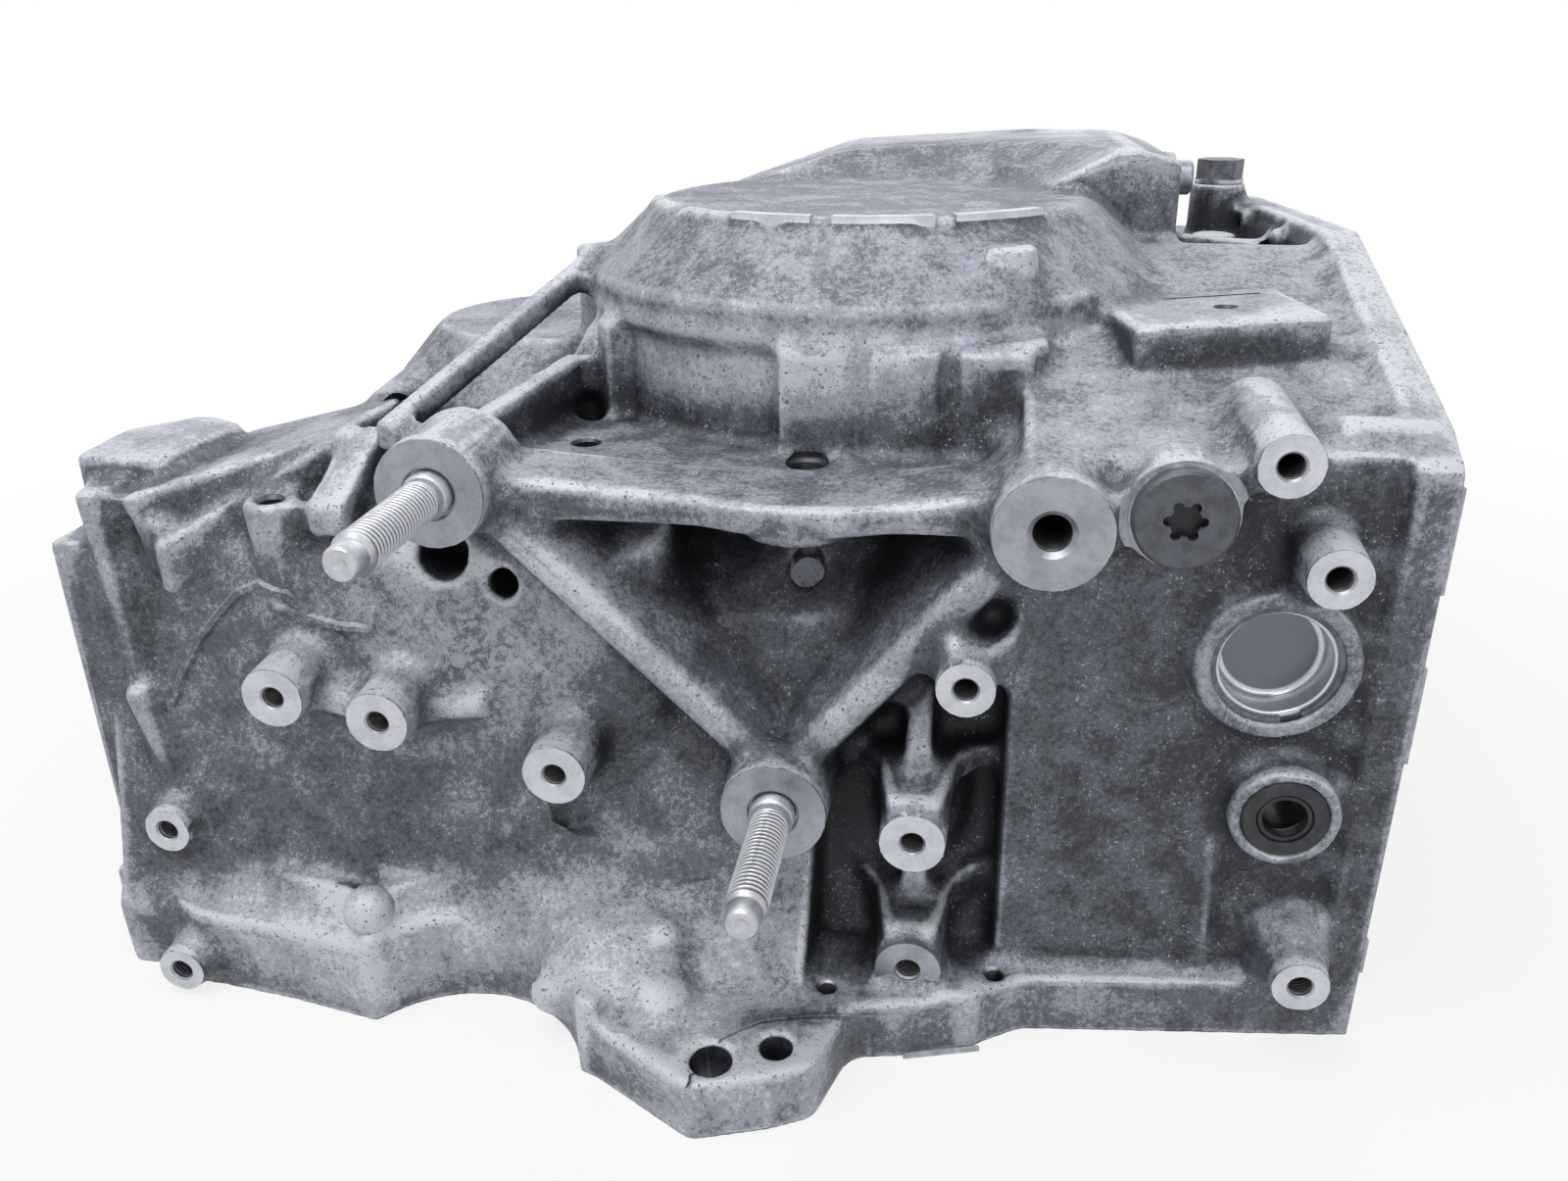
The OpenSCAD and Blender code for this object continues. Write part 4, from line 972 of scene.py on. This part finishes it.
def crease(case, path, width, height):
    """A raised line that follows the front surface through (x, z) points."""
    rows = []
    for (x0, z0), (x1, z1) in zip(path, path[1:]):
        count = max(2, int(math.hypot(x1 - x0, z1 - z0) / CREASE_STEP))
        for k in range(count):
            t = k / count
            rows.append((x0 + (x1 - x0) * t, z0 + (z1 - z0) * t))
    rows.append(path[-1])
    last = len(rows) - 1
    sides = 6
    points = []
    for k, (x, z) in enumerate(rows):
        centre, normal = surface_point(case, x, z)
        x0, z0 = rows[max(k - 1, 0)]
        x1, z1 = rows[min(k + 1, last)]
        across = Vector((x1 - x0, 0, z1 - z0)).cross(normal).normalized()
        thin = 0.35 if k in (0, last) else 1
        for side in range(sides):
            angle = 2 * math.pi * side / sides
            offset = across * math.cos(angle) * width / 2 + normal * math.sin(angle) * height
            points.append(centre + offset * thin)
    faces = [tuple(range(sides)), tuple(range(len(points) - sides, len(points)))[::-1]]
    for k in range(last):
        low = k * sides
        high = low + sides
        for side in range(sides):
            n = (side + 1) % sides
            faces.append((low + side, high + side, high + n, low + n))
    mesh = mesh_from("crease", points, faces)
    work = bmesh.new()
    work.from_mesh(mesh)
    bmesh.ops.recalc_face_normals(work, faces=work.faces)
    work.to_mesh(mesh)
    work.free()
    return mesh


def ring_part(radius, half_width, start, end, z0, z1):
    """An upright part of a ring round the drum's axis, between two angles in degrees."""
    count = max(2, int(abs(end - start) / 2.5))
    angles = [math.radians(start + (end - start) * k / count) for k in range(count + 1)]
    sides = []
    for r in (radius + half_width, radius - half_width):
        sides.append([(r * math.cos(a), r * math.sin(a)) for a in angles])
    return prism("ring part", *sides, z0, z1)


# Bars on the drum's shoulder: their angles in degrees, radius, half width, foot and top
DRUM_BARS = [(-119, -99), (-94, -71), (-66, -42)]
BAR_RADIUS = 76.6
BAR_HALF_WIDTH = 2
BAR_HEIGHTS = (235, 239)

# Round knob on the fold beside the ear
KNOB = (-142, -167, 36)
KNOB_R = 8

# Line round the ear's pad, and the step from it to the line's outer side
PAD_EDGE = [(-24, -190.5), (-18.5, -185.5), (-13, -181.5), (-2, -178), (9, -176.2), (20, -175.4)]
PAD_STEP = (-0.4, -1.3)

# How far the unfinished boss's face stands out, and how deep the disc behind it reaches
RAW_BOSS_OUT = 0.6
RAW_BOSS_IN = 14
PARTING_WIDTH = 3.4
PARTING_HEIGHT = 1.7


def add_forms(case):
    """Adds the parting line, the drum's bars, the unfinished boss, the knob and the pad's line."""
    bars = [ring_part(BAR_RADIUS, BAR_HALF_WIDTH, a, b, *BAR_HEIGHTS) for a, b in DRUM_BARS]
    rim = [(x + PAD_STEP[0], y + PAD_STEP[1]) for x, y in PAD_EDGE]
    x, z, r = RAW_BOSS
    pieces = [
        (crease(case, PARTING_LINE, PARTING_WIDTH, PARTING_HEIGHT), CAST),
        (joined("bars", bars), MACHINED),
        (disc(x, z, MOUNT_Y - RAW_BOSS_OUT, MOUNT_Y + RAW_BOSS_IN, r), FACED),
        (ball(*KNOB, KNOB_R), CAST),
        (prism("pad", rim, PAD_EDGE, EAR_TOP - 2, EAR_TOP + 1), CAST),
    ]
    for piece, material in pieces:
        piece.materials.append(material)
        combine(case, [piece], "UNION")


SOFT_MARGIN = 6
SOFT_PULL = 0.6
SOFT_CAVITY = 0.8


def soften(case, low, high, steps):
    """Smooths the casting inside a box in millimetres, less and less towards the box's sides."""
    mesh = case.data
    points = coordinates(mesh)
    around = Neighbours(mesh)
    inside = np.minimum(points / MM - np.array(low), np.array(high) - points / MM).min(1)
    weight = np.clip(inside / SOFT_MARGIN, 0, 1)[:, None]
    for _ in range(steps):
        points = points + (around.mean(points) - points) * weight * SOFT_PULL
    set_coordinates(mesh, points)
    # Weakens the cavity term, and with it the painted edge highlight and hollow shade, inside the box.
    cavity = read_attribute(mesh, "cavity")
    write_attribute(mesh, "cavity", cavity * (1 - SOFT_CAVITY * weight[:, 0]))


def drop_slivers(mesh):
    """Removes the faces without area that the cuts leave, also where two lie on each other."""
    work = bmesh.new()
    work.from_mesh(mesh)
    bmesh.ops.remove_doubles(work, verts=work.verts, dist=0.001 * MM)
    bmesh.ops.dissolve_degenerate(work, edges=work.edges, dist=0.001 * MM)
    twins = {}
    for face in work.faces:
        twins.setdefault(frozenset(face.verts), []).append(face)
    flat = [face for faces in twins.values() if len(faces) > 1 for face in faces]
    bmesh.ops.delete(work, geom=flat, context="FACES")
    work.to_mesh(mesh)
    work.free()


EDGE_CAVITY = -0.4


def brighten_knob(case):
    """Marks the knob's skin as an edge, so that it takes the edges' pale tone, a painted highlight."""
    mesh = case.data
    near = np.linalg.norm(coordinates(mesh) / MM - np.array(KNOB), axis=1) < KNOB_R + 0.4
    write_attribute(mesh, "cavity", np.where(near, EDGE_CAVITY, read_attribute(mesh, "cavity")))


# In metres: a centre for the rings away from any boss, and how far a boss's own centre counts
FAR_CENTRE = (0.7, 0.3, -0.2)
FACE_REACH = 0.020
FACE_DEPTH = 0.004


def mark_faces(case):
    """Stores, for each vertex, the way from the centre of the cut it lies in, in metres."""
    points = coordinates(case.data)
    spin = points - np.array(FAR_CENTRE)
    nearest = np.full(len(points), FACE_REACH)
    for x, z, y, _ in faced_bosses():
        away = points - np.array([x, y, z]) * MM
        flat = np.hypot(away[:, 0], away[:, 2])
        closer = (flat < nearest) & (np.abs(away[:, 1]) < FACE_DEPTH)
        nearest[closer] = flat[closer]
        spin[closer] = away[closer] * np.array([1, 0, 1])
    add_attribute(case.data, "spin", spin, "FLOAT_VECTOR")


SKY_RAYS = 44
SKY_REACH = 0.09
SKY_START = 0.0005
LOWEST_RAY = 0.15


def sky_directions():
    """Directions spread evenly over a sphere."""
    out = []
    for k in range(SKY_RAYS):
        z = 1 - (2 * k + 1) / SKY_RAYS
        r = math.sqrt(1 - z * z)
        turn = math.pi * (3 - math.sqrt(5)) * k
        out.append((r * math.cos(turn), r * math.sin(turn), z))
    return np.array(out)


def mark_shelter(case):
    """Stores how much of the space around each vertex the casting itself shuts off, from 0 to 1."""
    mesh = case.data
    work = bmesh.new()
    work.from_mesh(mesh)
    tree = BVHTree.FromBMesh(work)
    work.free()
    normals = vertex_normals(mesh)
    directions = sky_directions()
    vectors = [Vector(d) for d in directions]
    starts = coordinates(mesh) + normals * SKY_START
    shut = np.zeros((len(starts), 1))
    for k, (start, row) in enumerate(zip(starts, normals @ directions.T)):
        start = Vector(start)
        open_share = 0
        all_share = 0
        for direction, weight in zip(vectors, row):
            if weight > LOWEST_RAY:
                all_share += weight
                if tree.ray_cast(start, direction, SKY_REACH)[0] is None:
                    open_share += weight
        shut[k] = 1 - open_share / all_share
    add_attribute(mesh, "shelter", (shut + Neighbours(mesh).mean(shut)) / 2)


# Sunken floor of the roof, which the CAD's side window cuts too thin: boxes round the hex plug's boss
ROOF_FLOORS = [
    ((118, 2, 200.5), (155.5, 120, 206)),
    ((118, 119, 200.5), (134, 135, 206)),
    ((150, 119, 200.5), (155.5, 135, 206)),
    ((118, 134, 200.5), (155.5, 157.5, 206)),
]

# Boxes in which the casting is rounder than the CAD: low corner, high corner and smoothing steps
ROUNDED_BOXES = [
    ((-112, -185, 20.5), (-48, -138, 56), 50),
    ((36, -91, 206), (62, -63, 231), 16),
]


def make_case():
    """The casting: the CAD solid with stock on its machined faces, rounded and machined."""
    mesh = nodes["main_case"].data.copy()
    weld(mesh, 0.0001)
    lay_stock(mesh)
    case = new_object("case", mesh)
    combine(case, [disc(x, z, y - STOCK, y + 1, r) for x, z, y, r in faced_bosses()], "UNION")
    combine(case, [box_mesh("roof floor", low, high) for low, high in ROOF_FLOORS], "UNION")
    smooth_cast(case)
    case.data.materials.clear()
    case.data.materials.append(CAST)
    for low, high, steps in ROUNDED_BOXES:
        soften(case, low, high, steps)
    add_forms(case)
    machine(case)
    drop_slivers(case.data)
    brighten_knob(case)
    mark_faces(case)
    mark_shelter(case)
    split_edges(case, 40)
    return case


case = make_case()
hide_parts("main_case")
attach(case, "root")


# Mount studs with their threads

# (radius, height) pairs from the foot in the casting to the tip
STUD_PROFILE = [
    (0, -24), (5.2, -24), (5.2, -2.4), (6.8, -2.4), (6.8, 2.4), (6.2, 3.1), (5.95, 3.4),
    (5.95, 44.6), (5.0, 45.6), (4.85, 46.4), (4.85, 50.8), (4.1, 52), (2.3, 52), (1.6, 51.3), (0, 51.1)
]
THREAD_FROM = 6
THREAD_TO = 44.4
THREAD_DEPTH = 0.9
THREAD_STEPS = 8
SHANK_FOOT = 3.4
STUD_SEGMENTS = 40


def thread_cut(height, turn):
    """Depth of the thread's groove, from 0 to 1, at a height and a share of a turn."""
    phase = (height / STUD_PITCH - turn) % 1
    crest = min(max((abs(phase - 0.5) * 2 - 0.2) / 0.6, 0), 1)
    run_in = max((height - THREAD_FROM) / STUD_PITCH, 0)
    run_out = max((THREAD_TO - height) / STUD_PITCH, 0)
    return (1 - crest) * min(run_in, run_out, 1)


def stud(name, x, z):
    """A stud: its profile round its axis, with a helical thread cut into the shank."""
    heights = []
    for (r0, h0), (r1, h1) in zip(STUD_PROFILE, STUD_PROFILE[1:]):
        count = max(1, round((h1 - h0) / STUD_PITCH * THREAD_STEPS)) if h0 == SHANK_FOOT else 1
        heights += [(r0 + (r1 - r0) * k / count, h0 + (h1 - h0) * k / count) for k in range(count)]
    heights.append(STUD_PROFILE[-1])
    points = []
    shade_and_dirt = []
    faces = []
    for radius, height in heights:
        for k in range(STUD_SEGMENTS):
            turn = k / STUD_SEGMENTS
            angle = 2 * math.pi * turn
            groove = thread_cut(height, turn)
            r = radius - THREAD_DEPTH * groove
            points.append((r * math.cos(angle), r * math.sin(angle), height))
            # Groove depth, which drives the dirt and painted shade in the grooves.
            shade_and_dirt.append(groove)
    for row in range(len(heights) - 1):
        low = row * STUD_SEGMENTS
        high = low + STUD_SEGMENTS
        for k in range(STUD_SEGMENTS):
            n = (k + 1) % STUD_SEGMENTS
            faces.append((low + k, low + n, high + n, high + k))
    mesh = mesh_from(name, points, faces)
    add_attribute(mesh, "shade_and_dirt", np.array(shade_and_dirt))
    weld(mesh, 0.001)
    mesh.transform(along(FRONT, (x, MOUNT_Y, z)))
    mesh.materials.append(STUD_METAL)
    piece = new_object(name, mesh)
    split_edges(piece, 50)
    return piece


for side, (x, z) in (("left", MOUNT_LEFT), ("middle", MOUNT_MIDDLE)):
    piece = stud("stud_" + side, x, z)
    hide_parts("mount_stud_" + side)
    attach(piece, "root")


# The other nodes keep their shape, with softened edges and their own looks

REPLACED = ("main_case", "mount_stud_left", "mount_stud_middle")
EDGE_BEVEL = 0.25
for entry in frame["record"]["subparts"]:
    if entry["node"] in REPLACED:
        continue
    node = nodes[entry["node"]]
    node.data.materials.clear()
    look = PLUG_METAL if entry["node"] == "screw_plug" else LOOKS[entry["material_slot"]]
    node.data.materials.append(look)
    bevel = node.modifiers.new("bevel", "BEVEL")
    bevel.width = EDGE_BEVEL * MM
    bevel.segments = 2
    bevel.limit_method = "ANGLE"
    bevel.angle_limit = math.radians(35)
    bevel.harden_normals = True


# Floor, light and background

FLOOR_SIZE = 8
FLOOR_DROP = 0.0002
BACKGROUND = 1.0
AMBIENT = 0.32


def area_light(name, at, aim, size, power):
    data = bpy.data.lights.new(name, "AREA")
    data.shape = "RECTANGLE"
    data.size = size[0]
    data.size_y = size[1]
    data.energy = power
    light = bpy.data.objects.new(name, data)
    turn = (Vector(aim) - Vector(at)).to_track_quat("-Z", "Y").to_matrix().to_4x4()
    light.matrix_world = Matrix.Translation(at) @ turn
    scene.collection.objects.link(light)


def seen_white(s, lit, camera_share):
    """White to reflections, and to the camera by a share. Elsewhere the lit shader."""
    path = s.add("ShaderNodeLightPath")
    seen = s.math("MAXIMUM", path.outputs["Is Glossy Ray"], path.outputs["Is Transmission Ray"])
    seen = s.math("MAXIMUM", seen, s.product(path.outputs["Is Camera Ray"], camera_share))
    white = s.add("ShaderNodeEmission")
    s.feed(white.inputs["Strength"], BACKGROUND)
    both = s.add("ShaderNodeMixShader")
    s.feed(both.inputs["Fac"], seen)
    s.feed(both.inputs[1], lit)
    s.feed(both.inputs[2], white.outputs["Emission"])
    return both.outputs["Shader"]


def make_floor():
    """A pale floor that shows the object's shadow near it and is plain white further off."""
    s = Shader("floor")
    shade = s.add("ShaderNodeBsdfDiffuse")
    s.feed(shade.inputs["Color"], s.mix(s.noise(3, 3), linear((240, 241, 243)), linear((247, 247, 249))))
    distance = s.add("ShaderNodeVectorMath", operation="LENGTH")
    s.feed(distance.inputs[0], s.coordinates)
    share = s.step(distance.outputs["Value"], 0.25, 0.75, 0.8, 1.0)
    s.output(seen_white(s, shade.outputs["BSDF"], share))
    half = FLOOR_SIZE / 2 / MM
    corners = [(-half, -half, 0), (half, -half, 0), (half, half, 0), (-half, half, 0)]
    floor = new_object("floor", mesh_from("floor", corners, [(0, 1, 2, 3)]))
    floor.data.materials.append(s.material)
    floor.location.z = -FLOOR_DROP


def make_world():
    """White behind the object and in reflections, and a dimmer even light from all round."""
    world = bpy.data.worlds.new("studio")
    world.use_nodes = True
    tree = world.node_tree
    tree.nodes.clear()
    path = tree.nodes.new("ShaderNodeLightPath")
    first = tree.nodes.new("ShaderNodeMath")
    first.operation = "MAXIMUM"
    tree.links.new(path.outputs["Is Camera Ray"], first.inputs[0])
    tree.links.new(path.outputs["Is Glossy Ray"], first.inputs[1])
    second = tree.nodes.new("ShaderNodeMath")
    second.operation = "MAXIMUM"
    tree.links.new(first.outputs[0], second.inputs[0])
    tree.links.new(path.outputs["Is Transmission Ray"], second.inputs[1])
    level = tree.nodes.new("ShaderNodeMapRange")
    tree.links.new(second.outputs[0], level.inputs["Value"])
    level.inputs["To Min"].default_value = AMBIENT
    level.inputs["To Max"].default_value = BACKGROUND
    sky = tree.nodes.new("ShaderNodeBackground")
    tree.links.new(level.outputs["Result"], sky.inputs["Strength"])
    end = tree.nodes.new("ShaderNodeOutputWorld")
    tree.links.new(sky.outputs["Background"], end.inputs["Surface"])
    sky.inputs["Color"].default_value = (1, 1, 1, 1)
    scene.world = world


make_floor()
make_world()
area_light("key", (-0.25, -0.45, 1.3), (0, 0, 0.12), (1.1, 0.8), 9.5)
area_light("front", (0.5, -1.3, 0.6), (0, 0, 0.1), (0.9, 0.7), 1.6)
area_light("back", (0.1, 1.0, 1.1), (0, 0, 0.15), (1.2, 0.6), 4)

scene.view_settings.view_transform = "Standard"
